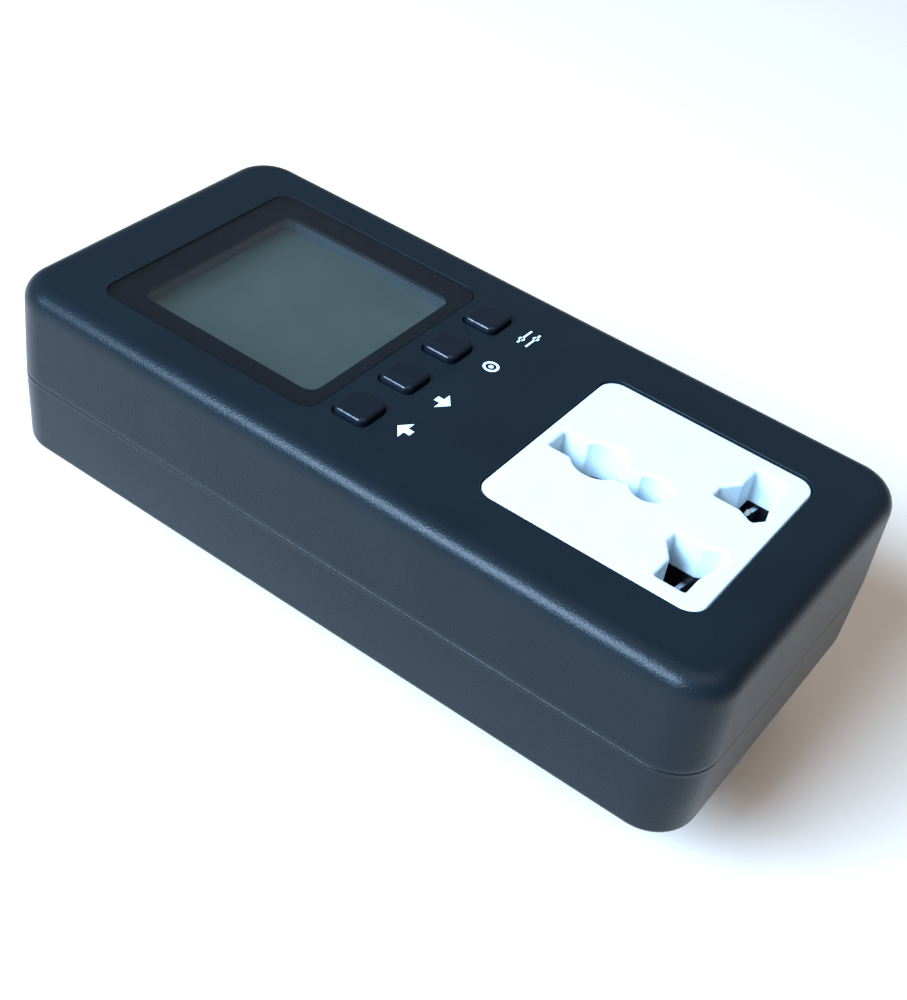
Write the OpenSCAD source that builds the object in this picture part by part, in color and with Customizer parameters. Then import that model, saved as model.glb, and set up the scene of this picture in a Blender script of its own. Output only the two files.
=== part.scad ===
// Plug-in power meter with a display, four keys and a universal socket, lying on its back.
// +Z leaves the front face, +Y points to the display end and +X is the meter's right.
// The origin is on the rear face, midway between the line pin and the neutral pin.
// All sizes are in millimetres.

/* [Case] */
// Length of the case
case_l = 122; // [119:1:150]
// Width of the case
case_w = 58; // [56:1:72]
// Depth of the case from its rear face to its front face
case_h = 29; // [28.5:0.5:36]
// Height of the parting line above the rear face
parting_z = 13.2; // [12.5:0.1:15]
// Thickness of the side walls and of the rear wall
wall = 2; // [1.6:0.1:2.2]
// Thickness of the front wall
front_wall = 2.2; // [2:0.1:2.6]
// Radius of the upright corners at the parting line
corner_r = 7.2; // [6:0.2:9]
// Rounding of the front edge
front_edge_r = 3.2; // [1:0.1:3.6]
// Rounding of the rear edge
rear_edge_r = 1.3; // [0.6:0.1:1.8]
// Draft of the front shell's sides in degrees
front_draft = 0.9; // [0:0.1:1.8]
// Draft of the rear shell's sides in degrees
rear_draft = 1.8; // [0:0.1:2.4]
// Height of the tongue that locates the two shells
tongue_h = 1.5; // [1:0.1:2]

/* [Display] */
// Width of the display lens
lens_w = 41.5; // [40:0.5:46]
// Length of the display lens
lens_l = 39.7; // [38:0.1:42]
// Thickness of the display lens
lens_t = 1.05; // [0.8:0.05:1.2]
// Corner radius of the display lens
lens_r = 2.6; // [1:0.1:4]
// Gap between the lens and the display end of the case
lens_end_gap = 11.8; // [11:0.1:14]
// Width of the display window
window_w = 34.4; // [30:0.2:35]
// Length of the display window
window_l = 33.8; // [30:0.2:34.4]
// Shift of the window from the middle of the lens
window_shift = -0.9; // [-1.2:0.1:0]
// Width of the display glass
glass_w = 37.4; // [37:0.1:38.4]
// Length of the display glass
glass_l = 36; // [35.8:0.1:36.6]
// Thickness of the display glass
glass_t = 2.2; // [1.8:0.1:2.4]

/* [Keys] */
// Side of each square key
key_size = 5.7; // [4.6:0.1:6.4]
// Corner radius of each key
key_r = 1.2; // [0.4:0.1:1.6]
// Spacing from one key to the next
key_pitch = 10.4; // [9.6:0.1:10.8]
// Height of the keys above the front face
key_rise = 1; // [0.6:0.1:1.6]
// Distance from the lens's lower edge to the middle of the keys
key_drop = 4.9; // [4.7:0.1:6]
// Travel of each key
key_travel = 0.3; // [0.2:0.05:0.4]
// Gap between each key and its hole
key_gap = 0.2; // [0.15:0.05:0.35]

/* [Socket] */
// Width of the socket insert
insert_w = 35; // [34:0.1:37]
// Length of the socket insert
insert_l = 34.6; // [34.2:0.1:35.6]
// Corner radius of the socket insert
insert_r = 2.8; // [1:0.1:4]
// Thickness of the socket insert's face
insert_t = 3.4; // [3:0.1:4]
// Gap between the socket insert and the socket end of the case
insert_end_gap = 9.9; // [9.5:0.1:12]
// Distance of the power apertures below the middle of the insert
power_drop = 11.6; // [11.2:0.1:11.8]
// Distance of each power contact from the middle of the insert
contact_x = 10.9; // [10.6:0.1:11.2]
// Gap between a contact's two leaves where they grip
contact_grip = 4.2; // [3.6:0.1:4.6]
// Thickness of the contact strip
strip_t = 0.7; // [0.5:0.1:0.8]

/* [Plug] */
// Distance of the power pins below the display end of the case
plug_end_gap = 45; // [43:0.5:46]
// Spacing of the line pin and the neutral pin
pin_pitch = 19.05; // [18:0.05:20]
// Distance from the power pins to the earth pin
earth_pitch = 22.23; // [20:0.01:23]
// Radius of the line pin and of the neutral pin
pin_r = 2.54; // [2:0.01:2.8]
// Length of the line pin and of the neutral pin
pin_l = 14.9; // [12:0.1:19]
// Radius of the earth pin
earth_r = 3.53; // [3:0.01:3.8]
// Length of the earth pin
earth_l = 20.6; // [16:0.1:24]

/* [Inside] */
// Thickness of both circuit boards
board_t = 1.6; // [1:0.1:2]
// Height of the power board's underside
power_board_z = 8; // [7.8:0.1:9]
// Distance from the front wall to the main board
main_board_gap = 6.2; // [6:0.1:6.6]
// Radius of the case screws' columns
boss_r = 3.5; // [3.2:0.1:3.8]

/* [Hidden] */
$fn = 48;
eps = 0.01;
arc_steps = 6;
slip = 0.1;

// Levels of the stack behind the front wall
front_inside_z = case_h - front_wall;
main_top_z = front_inside_z - main_board_gap;
main_under_z = main_top_z - board_t;
glass_drop = 1.8;
glass_top_z = front_inside_z - glass_drop;
key_skirt = 1.2;
key_under_z = front_inside_z - key_skirt;
glass_under_z = glass_top_z - glass_t;
power_top_z = power_board_z + board_t;

// Places along the case, measured from the middle of the case
lens_y = case_l / 2 - lens_end_gap - lens_l / 2;
window_y = lens_y + window_shift;
key_y = lens_y - lens_l / 2 - key_drop;
insert_y = -case_l / 2 + insert_end_gap + insert_l / 2;
power_y = insert_y - power_drop;
plug_y = case_l / 2 - plug_end_gap;
earth_y = plug_y + earth_pitch;
window_r = 1.2;
key_xs = [-1.5 * key_pitch, -0.5 * key_pitch, 0.5 * key_pitch, 1.5 * key_pitch];
switch_side = 6;
plunger_r = 1.6;

// Case screws stand in the corners, with the flat of the rear face all round their wells
case_seat_z = 9;
case_head_r = 2.6;
case_head_h = 2;
case_shank_r = 1.3;
case_shank_l = 13.5;
well_r = case_head_r + 0.3;
well_skin = 0.8;
well_step = tan(rear_draft) * parting_z + rear_edge_r + well_skin + well_r;
boss_inset = max(well_step, corner_r - (corner_r - well_step) / sqrt(2));
boss_x = case_w / 2 - boss_inset;
boss_y = case_l / 2 - boss_inset;
boss_joint_gap = 0.1;

// Bores that the screws bite into
board_bore_r = 0.9;
socket_bore_r = 1.15;

// Main board and its bosses
frame_wall = 1.3;
frame_w = glass_w + 2 * (slip + frame_wall);
frame_l = glass_l + 2 * (slip + frame_wall);
main_boss_r = 2;
main_boss_x = frame_w / 2 + main_boss_r + 0.4;
main_boss_ys = [key_y - 2.6, window_y + frame_l / 2 - 1];
main_board_w = 2 * (main_boss_x + 2.5);
main_board_lo = key_y - 6;
main_board_hi = boss_y - boss_r - 0.9;

// Power board, its posts and the strip that brings each socket contact to it
post_r = 2.3;
post_x = case_w / 2 - wall - 4.6;
power_board_w = 2 * (post_x + 2.3);
carrier_w = insert_w + 1;
carrier_l = insert_l - 0.2;
power_board_lo = insert_y + carrier_l / 2 + 5;
power_board_hi = main_board_hi - 0.5;
post_y = power_board_lo + 4;
tail_y = power_board_lo + 3.2;
tail_w = 3.4;
tail_rise = 1.2;

// Socket: carrier between the insert and the cover
insert_top_z = case_h - 0.2;
insert_under_z = insert_top_z - insert_t;
insert_gap = 0.25;
insert_lip = 1.6;
cover_t = 2;
carrier_z = power_board_z - 1;
carrier_ear_z = 14;
carrier_ear_t = 4;
carrier_r = 2;
socket_boss_r = 3;
socket_boss_x = insert_w / 2 + insert_lip + socket_boss_r + 0.3;
contact_top_z = case_h - 6;
earth_contact_top_z = contact_top_z - 0.7;
contact_w = 7.8;
contact_shift = 0.8;
earth_contact_lo = 9;
earth_contact_hi = 26.6;
skirt_gap = 0.2;

// Plug: pins with a collar in the wall and a flange inside it, held down by a retainer
collar_step = 0.5;
flange_step = 1.6;
flange_h = 1.6;
stem_r = 1.6;
retainer_z = wall + flange_h;
retainer_w = 34;
retainer_lo = plug_y - 7.5;
retainer_hi = earth_y + 7.5;
retainer_screw_x = 12.5;
retainer_screw_y = plug_y + 13;
retainer_boss_r = 2.6;
retainer_boss_h = 3.4;
retainer_seat_z = power_board_z - 1.3;
retainer_head_h = 1.2;

// Link header between the boards
link_pins = 5;
link_pitch = 2.54;
link_x = 2.9 - main_board_w / 2;
link_y = window_y;
link_pin_r = 0.32;
link_hole_r = 0.5;

module at_case() {
    translate([0, -plug_y, 0]) children();
}

module rounded_rect(w, l, r) {
    square([w - 2 * r, l], center = true);
    square([w, l - 2 * r], center = true);
    for (x = [-1, 1], y = [-1, 1])
        translate([x * (w / 2 - r), y * (l / 2 - r)]) circle(r = r);
}

module slab(w, l, r, z0, z1) {
    translate([0, 0, z0]) linear_extrude(height = z1 - z0) rounded_rect(w, l, r);
}

module box(x0, x1, y0, y1, z0, z1) {
    translate([x0, y0, z0]) cube([x1 - x0, y1 - y0, z1 - z0]);
}

module rod(x, y, r, z0, z1) {
    translate([x, y, z0]) cylinder(h = z1 - z0, r = r);
}

// A block whose sides step in by profile[i][0] at height profile[i][1]
module drafted_block(w, l, r, profile) {
    core_x = w / 2 - r;
    core_y = l / 2 - r;
    low = profile[0][1];
    top = profile[len(profile) - 1][1];
    // Each upright corner is a quarter turn of the profile
    for (turn = [0 : 3]) {
        sx = (turn == 0 || turn == 3) ? 1 : -1;
        sy = turn < 2 ? 1 : -1;
        translate([sx * core_x, sy * core_y, 0]) rotate([0, 0, 90 * turn]) rotate_extrude(angle = 90)
            polygon(concat([[0, low]], [for (p = profile) [r - p[0], p[1]]], [[0, top]]));
    }
    rotate([90, 0, 0]) linear_extrude(height = 2 * core_y, center = true)
        polygon(half_and_mirror(w / 2, profile));
    rotate([90, 0, 90]) linear_extrude(height = 2 * core_x, center = true)
        polygon(half_and_mirror(l / 2, profile));
}

function half_and_mirror(half, profile) = concat(
    [for (p = profile) [half - p[0], p[1]]],
    [for (i = [len(profile) - 1 : -1 : 0]) [profile[i][0] - half, profile[i][1]]]
);

// Side and rounded edge of the front shell, from height z0 to the flat at height z1
function front_profile(z0, z1, r) = concat(
    [[tan(front_draft) * (z0 - parting_z), z0]],
    [for (i = [0 : arc_steps])
        let (a = 90 * i / arc_steps)
        [tan(front_draft) * (z1 - r - parting_z) + r * (1 - cos(a)), z1 - r + r * sin(a)]]
);

// Rounded edge and side of the rear shell, from the rear face to the parting line
function rear_profile(r) = concat(
    [for (i = [arc_steps : -1 : 0])
        let (a = 90 * i / arc_steps)
        [tan(rear_draft) * (parting_z - r) + r * (1 - cos(a)), r - r * sin(a)]],
    [[0, parting_z]]
);

module at_case_bosses() {
    for (x = [-boss_x, boss_x], y = [-boss_y, boss_y]) translate([x, y, 0]) children();
}

module at_main_bosses() {
    for (x = [-main_boss_x, main_boss_x], y = main_boss_ys) translate([x, y, 0]) children();
}

module at_socket_bosses() {
    for (x = [-socket_boss_x, socket_boss_x]) translate([x, insert_y, 0]) children();
}

module at_posts() {
    for (x = [-post_x, post_x]) translate([x, post_y, 0]) children();
}

module at_retainer_screws() {
    for (x = [-retainer_screw_x, retainer_screw_x]) translate([x, retainer_screw_y, 0]) children();
}

// A pan-head screw whose head starts at height 0 and whose shank runs up to height l
module screw(head_r, head_h, shank_r, l) {
    difference() {
        union() {
            translate([0, 0, -head_h]) cylinder(h = head_h, r = head_r);
            translate([0, 0, -eps]) cylinder(h = l - shank_r, r = shank_r);
            translate([0, 0, l - shank_r - 2 * eps]) cylinder(h = shank_r, r1 = shank_r, r2 = 0.3);
        }
        for (a = [0, 90]) rotate([0, 0, a])
            translate([-0.65 * head_r, -0.3, -head_h - 1]) cube([1.3 * head_r, 0.6, 1 + 0.55 * head_h]);
    }
}

module front_case() color("#20262c") at_case() {
    cavity_r = max(front_edge_r - wall, 0.5);
    difference() {
        union() {
            difference() {
                drafted_block(case_w, case_l, corner_r, front_profile(parting_z, case_h, front_edge_r));
                drafted_block(case_w - 2 * wall, case_l - 2 * wall, corner_r - wall,
                    front_profile(parting_z - 1, front_inside_z, cavity_r));
            }
            at_case_bosses() rod(0, 0, boss_r, parting_z + boss_joint_gap, front_inside_z + eps);
            at_main_bosses() rod(0, 0, main_boss_r, main_top_z, front_inside_z + eps);
            at_socket_bosses() rod(0, 0, socket_boss_r, carrier_ear_z + carrier_ear_t, front_inside_z + eps);
        }
        slab(case_w - wall + slip, case_l - wall + slip, corner_r - (wall - slip) / 2,
            parting_z - 1, parting_z + tongue_h + 0.2);
        at_case_bosses() rod(0, 0, case_shank_r + slip / 2, parting_z - 1, case_seat_z + case_shank_l + 0.5);
        at_main_bosses() rod(0, 0, board_bore_r, main_top_z - 1, main_top_z + 5);
        at_socket_bosses() rod(0, 0, socket_bore_r, carrier_ear_z, carrier_ear_z + carrier_ear_t + 6.5);
        translate([0, lens_y, 0])
            slab(lens_w + 2 * slip, lens_l + 2 * slip, lens_r + slip, case_h - lens_t - slip, case_h + 1);
        translate([0, window_y, 0]) slab(window_w, window_l, window_r, front_inside_z - 1, case_h + 1);
        for (x = key_xs) translate([x, key_y, 0])
            slab(key_size + 2 * key_gap, key_size + 2 * key_gap, key_r + key_gap,
                front_inside_z - 1, case_h + 1);
        translate([0, insert_y, 0])
            slab(insert_w + 2 * insert_gap, insert_l + 2 * insert_gap, insert_r + insert_gap,
                front_inside_z - 1, case_h + 1);
    }
}

module rear_case() color("#20262c") at_case() {
    rib_gap = 0.1;
    rib_t = 1.6;
    rib_l = 20;
    rib_x = carrier_w / 2 - 5;
    difference() {
        union() {
            difference() {
                union() {
                    drafted_block(case_w, case_l, corner_r, rear_profile(rear_edge_r));
                    // Tongue that stands inside the front shell's rim
                    slab(case_w - wall - slip, case_l - wall - slip, corner_r - (wall + slip) / 2,
                        parting_z - 1, parting_z + tongue_h);
                }
                drafted_block(case_w - 2 * wall, case_l - 2 * wall, corner_r - wall, [
                    [tan(rear_draft) * (parting_z - wall), wall],
                    [0, parting_z],
                    [0, parting_z + tongue_h + 1]
                ]);
            }
            at_case_bosses() rod(0, 0, boss_r, wall - eps, parting_z - boss_joint_gap);
            at_posts() rod(0, 0, post_r, wall - eps, power_board_z);
            at_retainer_screws() rod(0, 0, retainer_boss_r, wall - eps, wall + retainer_boss_h);
            // Ribs that press the cover onto the contact carrier
            for (x = [-rib_x, rib_x]) translate([x, insert_y, 0])
                box(-rib_t / 2, rib_t / 2, -rib_l / 2, rib_l / 2, wall - eps, carrier_z - cover_t - rib_gap);
        }
        at_case_bosses() {
            rod(0, 0, well_r, -1, case_seat_z);
            rod(0, 0, case_shank_r + 0.25, -1, case_h);
        }
        at_posts() rod(0, 0, board_bore_r, wall, power_board_z + 1);
        at_retainer_screws() rod(0, 0, board_bore_r, 0.8, wall + retainer_boss_h + 1);
        for (x = [-pin_pitch / 2, pin_pitch / 2]) rod(x, plug_y, pin_r + collar_step + slip, -1, wall + 1);
        rod(0, earth_y, earth_r + collar_step + slip, -1, wall + 1);
    }
}

module display_lens() color("#1c2226", 0.6) at_case() translate([0, lens_y, 0])
    slab(lens_w, lens_l, lens_r, case_h - lens_t - slip, case_h - slip);

module display_glass() color("#5d7072") at_case() translate([0, window_y, 0]) {
    slab(glass_w, glass_l, 0.4, glass_under_z, glass_under_z + glass_t / 2);
    // The front plate stops short of the contact ledge at the lower edge
    ledge = 2;
    translate([0, ledge / 2, 0])
        slab(glass_w, glass_l - ledge, 0.4, glass_under_z + glass_t / 2 - eps, glass_top_z);
}

module display_frame() color("#26292c") at_case() translate([0, window_y, 0]) difference() {
    slab(frame_w, frame_l, 1, main_top_z, front_inside_z);
    slab(glass_w + 2 * slip, glass_l + 2 * slip, 0.5, main_top_z - 1, glass_top_z);
    slab(window_w, window_l, window_r, main_top_z - 1, case_h);
}

module display_diffuser() color("#d8e2dc") at_case() translate([0, window_y + 2, 0])
    slab(window_w, glass_l - 4.6, 0.4, main_top_z + 0.4, glass_under_z - slip);

module zebra_strips() color("#3c3c40") at_case() for (x = [-1, 1])
    translate([x * glass_w / 4, window_y - glass_l / 2 + 0.9, 0])
        box(-glass_w / 4 + 1, glass_w / 4 - 1, -0.8, 0.8, main_top_z, glass_under_z);

module main_board() color("#1f6b3a") at_case() difference() {
    box(-main_board_w / 2, main_board_w / 2, main_board_lo, main_board_hi, main_under_z, main_top_z);
    at_main_bosses() rod(0, 0, 1.1, main_under_z - 1, main_top_z + 1);
    link_holes(main_under_z - 1, main_top_z + 1);
}

module link_holes(z0, z1) {
    for (i = [0 : link_pins - 1])
        rod(link_x, link_y + (i - (link_pins - 1) / 2) * link_pitch, link_hole_r, z0, z1);
}

module control_chip() color("#1a1b1d") at_case() translate([-4, window_y + 2, main_under_z]) {
    chip_w = 12;
    chip_l = 14;
    translate([0, 0, -1.5]) linear_extrude(height = 1.4) square([chip_w, chip_l], center = true);
    // Gull-wing legs down both long sides
    for (side = [-1, 1], i = [0 : 8]) translate([side * chip_w / 2, (i - 4) * 1.4, 0]) {
        box(min(0, side * 1.2), max(0, side * 1.2), -0.25, 0.25, -0.8, -0.6);
        box(min(side * 0.9, side * 1.2), max(side * 0.9, side * 1.2), -0.25, 0.25, -0.7, 0);
    }
}

module clock_crystal() color("#b9bdc2") at_case() translate([10, window_y - 12, main_under_z - 1.6])
    rotate([0, 90, 0]) {
        cylinder(h = 7.6, r = 1.5);
        for (y = [-0.6, 0.6]) translate([0, y, -2.4]) cylinder(h = 2.5, r = 0.25);
    }

module memory_battery() color("#c9ccd0") at_case() translate([12, window_y + 12, main_under_z]) {
    // A button cell under its sprung metal clip
    rod(0, 0, 6.2, -5, -1.4);
    rod(0, 0, 5.2, -1.5, -0.8);
    difference() {
        box(-7.6, 7.6, -2.5, 2.5, -5.6, 0);
        box(-7.1, 7.1, -3, 3, -5.05, 1);
    }
}

module key_cap(x) at_case() translate([x, key_y, 0]) {
    crown = 0.35;
    flange = 0.75;
    top = case_h + key_rise;
    slab(key_size, key_size, key_r, key_under_z, top - crown);
    slab(key_size - 2 * crown, key_size - 2 * crown, key_r - crown, top - crown - eps, top);
    slab(key_size + 2 * flange, key_size + 2 * flange, key_r, key_under_z, front_inside_z - 0.15);
}

module key_up() color("#23272b") key_cap(key_xs[0]);

module key_down() color("#23272b") key_cap(key_xs[1]);

module key_price() color("#23272b") key_cap(key_xs[2]);

module key_set() color("#23272b") key_cap(key_xs[3]);

// Height of a switch's fixed body, which leaves room for the key's flange to come down
switch_top_z = key_under_z - key_travel - 0.4;
plunger_low_z = switch_top_z - 1;

module plunger(x) at_case() rod(x, key_y, plunger_r, plunger_low_z, key_under_z);

module plunger_up() color("#b8b09a") plunger(key_xs[0]);

module plunger_down() color("#b8b09a") plunger(key_xs[1]);

module plunger_price() color("#b8b09a") plunger(key_xs[2]);

module plunger_set() color("#b8b09a") plunger(key_xs[3]);

module key_switches() color("#2c2c2e") at_case() for (x = key_xs) translate([x, key_y, 0]) difference() {
    slab(switch_side, switch_side, 0.3, main_top_z, switch_top_z);
    rod(0, 0, plunger_r + slip, plunger_low_z - key_travel - 0.15, switch_top_z + 1);
}

module main_board_screws() color("#b9bdc2") at_case() at_main_bosses() translate([0, 0, main_under_z])
    screw(1.8, 1.2, 0.85, board_t + 4.5);

module board_link() color("#c8a94a") at_case() {
    length = link_pins * link_pitch;
    difference() {
        translate([link_x, link_y, 0])
            box(-1.25, 1.25, -length / 2, length / 2, power_top_z, power_top_z + 2.5);
        link_holes(power_top_z - 1, power_top_z + 4);
    }
    for (i = [0 : link_pins - 1])
        rod(link_x, link_y + (i - (link_pins - 1) / 2) * link_pitch, link_pin_r,
            power_board_z - 0.8, main_top_z + 0.8);
}

module power_board() color("#1f6b3a") at_case() difference() {
    box(-power_board_w / 2, power_board_w / 2, power_board_lo, power_board_hi, power_board_z, power_top_z);
    at_posts() rod(0, 0, 1.2, power_board_z - 1, power_top_z + 1);
    for (x = [-pin_pitch / 2, pin_pitch / 2])
        rod(x, plug_y, stem_r + slip, power_board_z - 1, power_top_z + 1);
    rod(0, earth_y, stem_r + slip, power_board_z - 1, power_top_z + 1);
    at_retainer_screws() rod(0, 0, 2.4, power_board_z - 1, power_top_z + 1);
    for (x = [-contact_x, 0, contact_x]) translate([x, tail_y, 0])
        box(-tail_w / 2 - slip, tail_w / 2 + slip, -slip, strip_t + slip, power_board_z - 1, power_top_z + 1);
    link_holes(power_board_z - 1, power_top_z + 1);
}

module power_board_screws() color("#b9bdc2") at_case() at_posts() translate([0, 0, power_top_z])
    mirror([0, 0, 1]) screw(2, 1.3, 0.85, board_t + 4.2);

module film_capacitor() color("#c9a227") at_case() translate([11, plug_y - 9.5, power_top_z])
    slab(18, 8.5, 0.8, 0, main_under_z - power_top_z - 1);

module electrolytic_capacitor() color("#2a3560") at_case() translate([18.5, plug_y + 6, power_top_z + 4.1])
    rotate([-90, 0, 0]) {
        cylinder(h = 12, r = 4);
        for (x = [-1.25, 1.25]) translate([x, 0, -1.6]) cylinder(h = 1.7, r = 0.3);
    }

module surge_varistor() color("#2b5fa8") at_case() translate([-13, plug_y - 11, power_top_z + 4.1])
    rotate([90, 0, 0]) {
        cylinder(h = 3.4, r = 4);
        for (x = [-2.5, 2.5]) translate([x, -2, 1.7]) rotate([90, 0, 0]) cylinder(h = 2.1, r = 0.3);
    }

module shunt_resistor() color("#b87333") at_case() translate([-4.5, plug_y + 12, power_top_z])
    rotate([90, 0, 90]) linear_extrude(height = 3) difference() {
        translate([-6, 0]) square([12, 5]);
        translate([-4.9, -1]) square([9.8, 4.9]);
    }

module board_fuse() color("#d9d3c3") at_case() translate([-17, plug_y + 2, power_top_z + 2.1])
    rotate([-90, 0, 0]) {
        cylinder(h = 9, r = 1.8);
        for (y = [-0.6, 7.6]) translate([0, 0, y]) cylinder(h = 2, r = 2);
    }

// One aperture for a power pin, to the right of the insert's middle line
module power_aperture() {
    polygon([
        [5.25, 4.4], [7.5, 4.4], [10.3, 2.4], [14.5, 2.4], [14.5, -2.3],
        [11.2, -2.3], [8.3, -2.8], [5.7, -3.5], [4, -2.2], [5.25, 0.2]
    ]);
}

// The earth aperture: a slot for a flat pin, a wide round one and a narrow round one
module earth_aperture() {
    translate([0, 19.8]) circle(r = 3.9);
    translate([-2.2, 19.8]) square([4.4, 7]);
    translate([-1.4, 11.5]) square([2.8, 8.3]);
    translate([0, 11.5]) circle(r = 2.75);
}

// Blocks round the apertures that reach down to the contacts, made larger by grow
module skirts(grow) {
    power_low = contact_top_z + skirt_gap - grow;
    earth_low = earth_contact_top_z + skirt_gap - grow;
    translate([0, power_y, 0]) {
        for (x = [-9.25, 9.25]) translate([x, 0, 0])
            box(-6.25 - grow, 6.25 + grow, -4.5 - grow, 5.4 + grow, power_low, insert_under_z + eps);
        box(-4.9 - grow, 4.9 + grow, 7.75 - grow, 27.8 + grow, earth_low, insert_under_z + eps);
    }
}

module socket_insert() color("#eef4f6") at_case() difference() {
    union() {
        translate([0, insert_y, 0]) slab(insert_w, insert_l, insert_r, insert_under_z, insert_top_z);
        translate([0, insert_y, 0])
            slab(insert_w + 2 * insert_lip, insert_l + 2 * insert_lip, insert_r + insert_lip,
                insert_under_z, front_inside_z - slip / 2);
        skirts(0);
    }
    translate([0, power_y, earth_contact_top_z - 1]) linear_extrude(height = case_h) {
        power_aperture();
        mirror([1, 0]) power_aperture();
        earth_aperture();
    }
}

module contact_carrier() color("#26282b") at_case() difference() {
    union() {
        translate([0, insert_y, 0]) slab(carrier_w, carrier_l, carrier_r, carrier_z, insert_under_z);
        translate([0, insert_y, 0]) difference() {
            box(-socket_boss_x - socket_boss_r, socket_boss_x + socket_boss_r, -4.5, 4.5,
                carrier_ear_z, carrier_ear_z + carrier_ear_t);
            box(-carrier_w / 2 + 1, carrier_w / 2 - 1, -5, 5, 0, case_h);
        }
    }
    at_socket_bosses() rod(0, 0, 1.4, carrier_ear_z - 1, carrier_ear_z + carrier_ear_t + 1);
    translate([0, power_y, 0]) {
        for (side = [-1, 1]) translate([side * (contact_x - 1), 0, 0])
            box(-5.3, 5.3, -4.2, 5, carrier_z - 1, case_h);
        box(-4.4, 4.4, 8.4, 27.6, carrier_z - 1, case_h);
    }
    skirts(slip);
    for (x = [-contact_x, 0, contact_x]) translate([x, power_y, 0])
        box(-tail_w / 2 - 0.2, tail_w / 2 + 0.2, 0, carrier_l, carrier_z - 1, carrier_z + strip_t + 0.3);
}

module carrier_cover() color("#26282b") at_case() translate([0, insert_y, 0])
    slab(carrier_w, carrier_l, carrier_r, carrier_z - cover_t, carrier_z);

// A folded strip: base, two leaves bowed in to the grip, and a flared mouth
module spring_contact(width, top_z) {
    foot = contact_grip / 2 + 0.9;
    mouth = contact_grip / 2 + 0.5;
    bend_z = carrier_z + strip_t;
    grip_z = top_z - 4;
    rotate([90, 0, 0]) linear_extrude(height = width, center = true) for (side = [-1, 1]) polygon([
        [0, carrier_z], [side * (foot + strip_t), carrier_z], [side * (foot + strip_t), bend_z + 1],
        [side * (contact_grip / 2 + strip_t), grip_z], [side * (mouth + strip_t), top_z],
        [side * mouth, top_z], [side * contact_grip / 2, grip_z],
        [side * foot, bend_z + 1], [side * foot, bend_z], [0, bend_z]
    ]);
}

// The strip's tail runs to the power board and turns up through its slot
module contact_tail(x, from_y) {
    translate([x, 0, 0]) {
        box(-tail_w / 2, tail_w / 2, from_y, tail_y + strip_t, carrier_z, carrier_z + strip_t);
        box(-tail_w / 2, tail_w / 2, tail_y, tail_y + strip_t, carrier_z, power_top_z + tail_rise);
    }
}

module power_contact(side) at_case() {
    translate([side * contact_x, power_y + contact_shift, 0]) spring_contact(contact_w, contact_top_z);
    contact_tail(side * contact_x, power_y);
}

module line_contact() color("#c8ccd2") power_contact(-1);

module neutral_contact() color("#c8ccd2") power_contact(1);

module earth_contact() color("#c8ccd2") at_case() {
    translate([0, power_y + (earth_contact_lo + earth_contact_hi) / 2, 0])
        spring_contact(earth_contact_hi - earth_contact_lo, earth_contact_top_z);
    contact_tail(0, power_y + earth_contact_hi - 1);
}

module socket_screws() color("#b9bdc2") at_case() at_socket_bosses() translate([0, 0, carrier_ear_z])
    screw(2.4, 1.8, 1.1, carrier_ear_t + 6);

// A round pin: shaft below the rear face, collar in the wall, flange inside it, stem through the board
module plug_pin(r, l) {
    tip = 1;
    translate([0, 0, -l]) cylinder(h = tip, r1 = r - tip, r2 = r);
    translate([0, 0, -l + tip - eps]) cylinder(h = l - tip + 2 * eps, r = r);
    cylinder(h = wall + eps, r = r + collar_step);
    translate([0, 0, wall]) cylinder(h = flange_h, r = r + flange_step);
    translate([0, 0, wall]) cylinder(h = power_top_z + tail_rise - wall, r = stem_r);
}

module line_pin() color("#c9a96a") translate([-pin_pitch / 2, 0, 0]) plug_pin(pin_r, pin_l);

module neutral_pin() color("#c9a96a") translate([pin_pitch / 2, 0, 0]) plug_pin(pin_r, pin_l);

module earth_pin() color("#c9a96a") translate([0, earth_pitch, 0]) plug_pin(earth_r, earth_l);

module pin_retainer() color("#26282b") at_case() difference() {
    translate([0, (retainer_lo + retainer_hi) / 2, 0])
        slab(retainer_w, retainer_hi - retainer_lo, 3, retainer_z, power_board_z);
    for (x = [-pin_pitch / 2, pin_pitch / 2]) rod(x, plug_y, stem_r + slip, retainer_z - 1, case_h);
    rod(0, earth_y, stem_r + slip, retainer_z - 1, case_h);
    at_retainer_screws() {
        rod(0, 0, retainer_boss_r + 0.2, retainer_z - 1, wall + retainer_boss_h);
        rod(0, 0, 1.1, retainer_z - 1, case_h);
        rod(0, 0, 2.3, retainer_seat_z, case_h);
    }
}

module retainer_screws() color("#b9bdc2") at_case() at_retainer_screws()
    translate([0, 0, retainer_seat_z]) mirror([0, 0, 1])
        screw(2, retainer_head_h, 0.85, retainer_seat_z - retainer_head_h);

module case_screws() color("#8e9298") at_case() at_case_bosses() translate([0, 0, case_seat_z])
    screw(case_head_r, case_head_h, case_shank_r, case_shank_l);

front_case();
rear_case();
display_lens();
display_glass();
display_frame();
display_diffuser();
zebra_strips();
main_board();
control_chip();
clock_crystal();
memory_battery();
key_up();
key_down();
key_price();
key_set();
plunger_up();
plunger_down();
plunger_price();
plunger_set();
key_switches();
main_board_screws();
board_link();
power_board();
power_board_screws();
film_capacitor();
electrolytic_capacitor();
surge_varistor();
shunt_resistor();
board_fuse();
socket_insert();
contact_carrier();
carrier_cover();
line_contact();
neutral_contact();
earth_contact();
socket_screws();
line_pin();
neutral_pin();
earth_pin();
pin_retainer();
retainer_screws();
case_screws();
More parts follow.
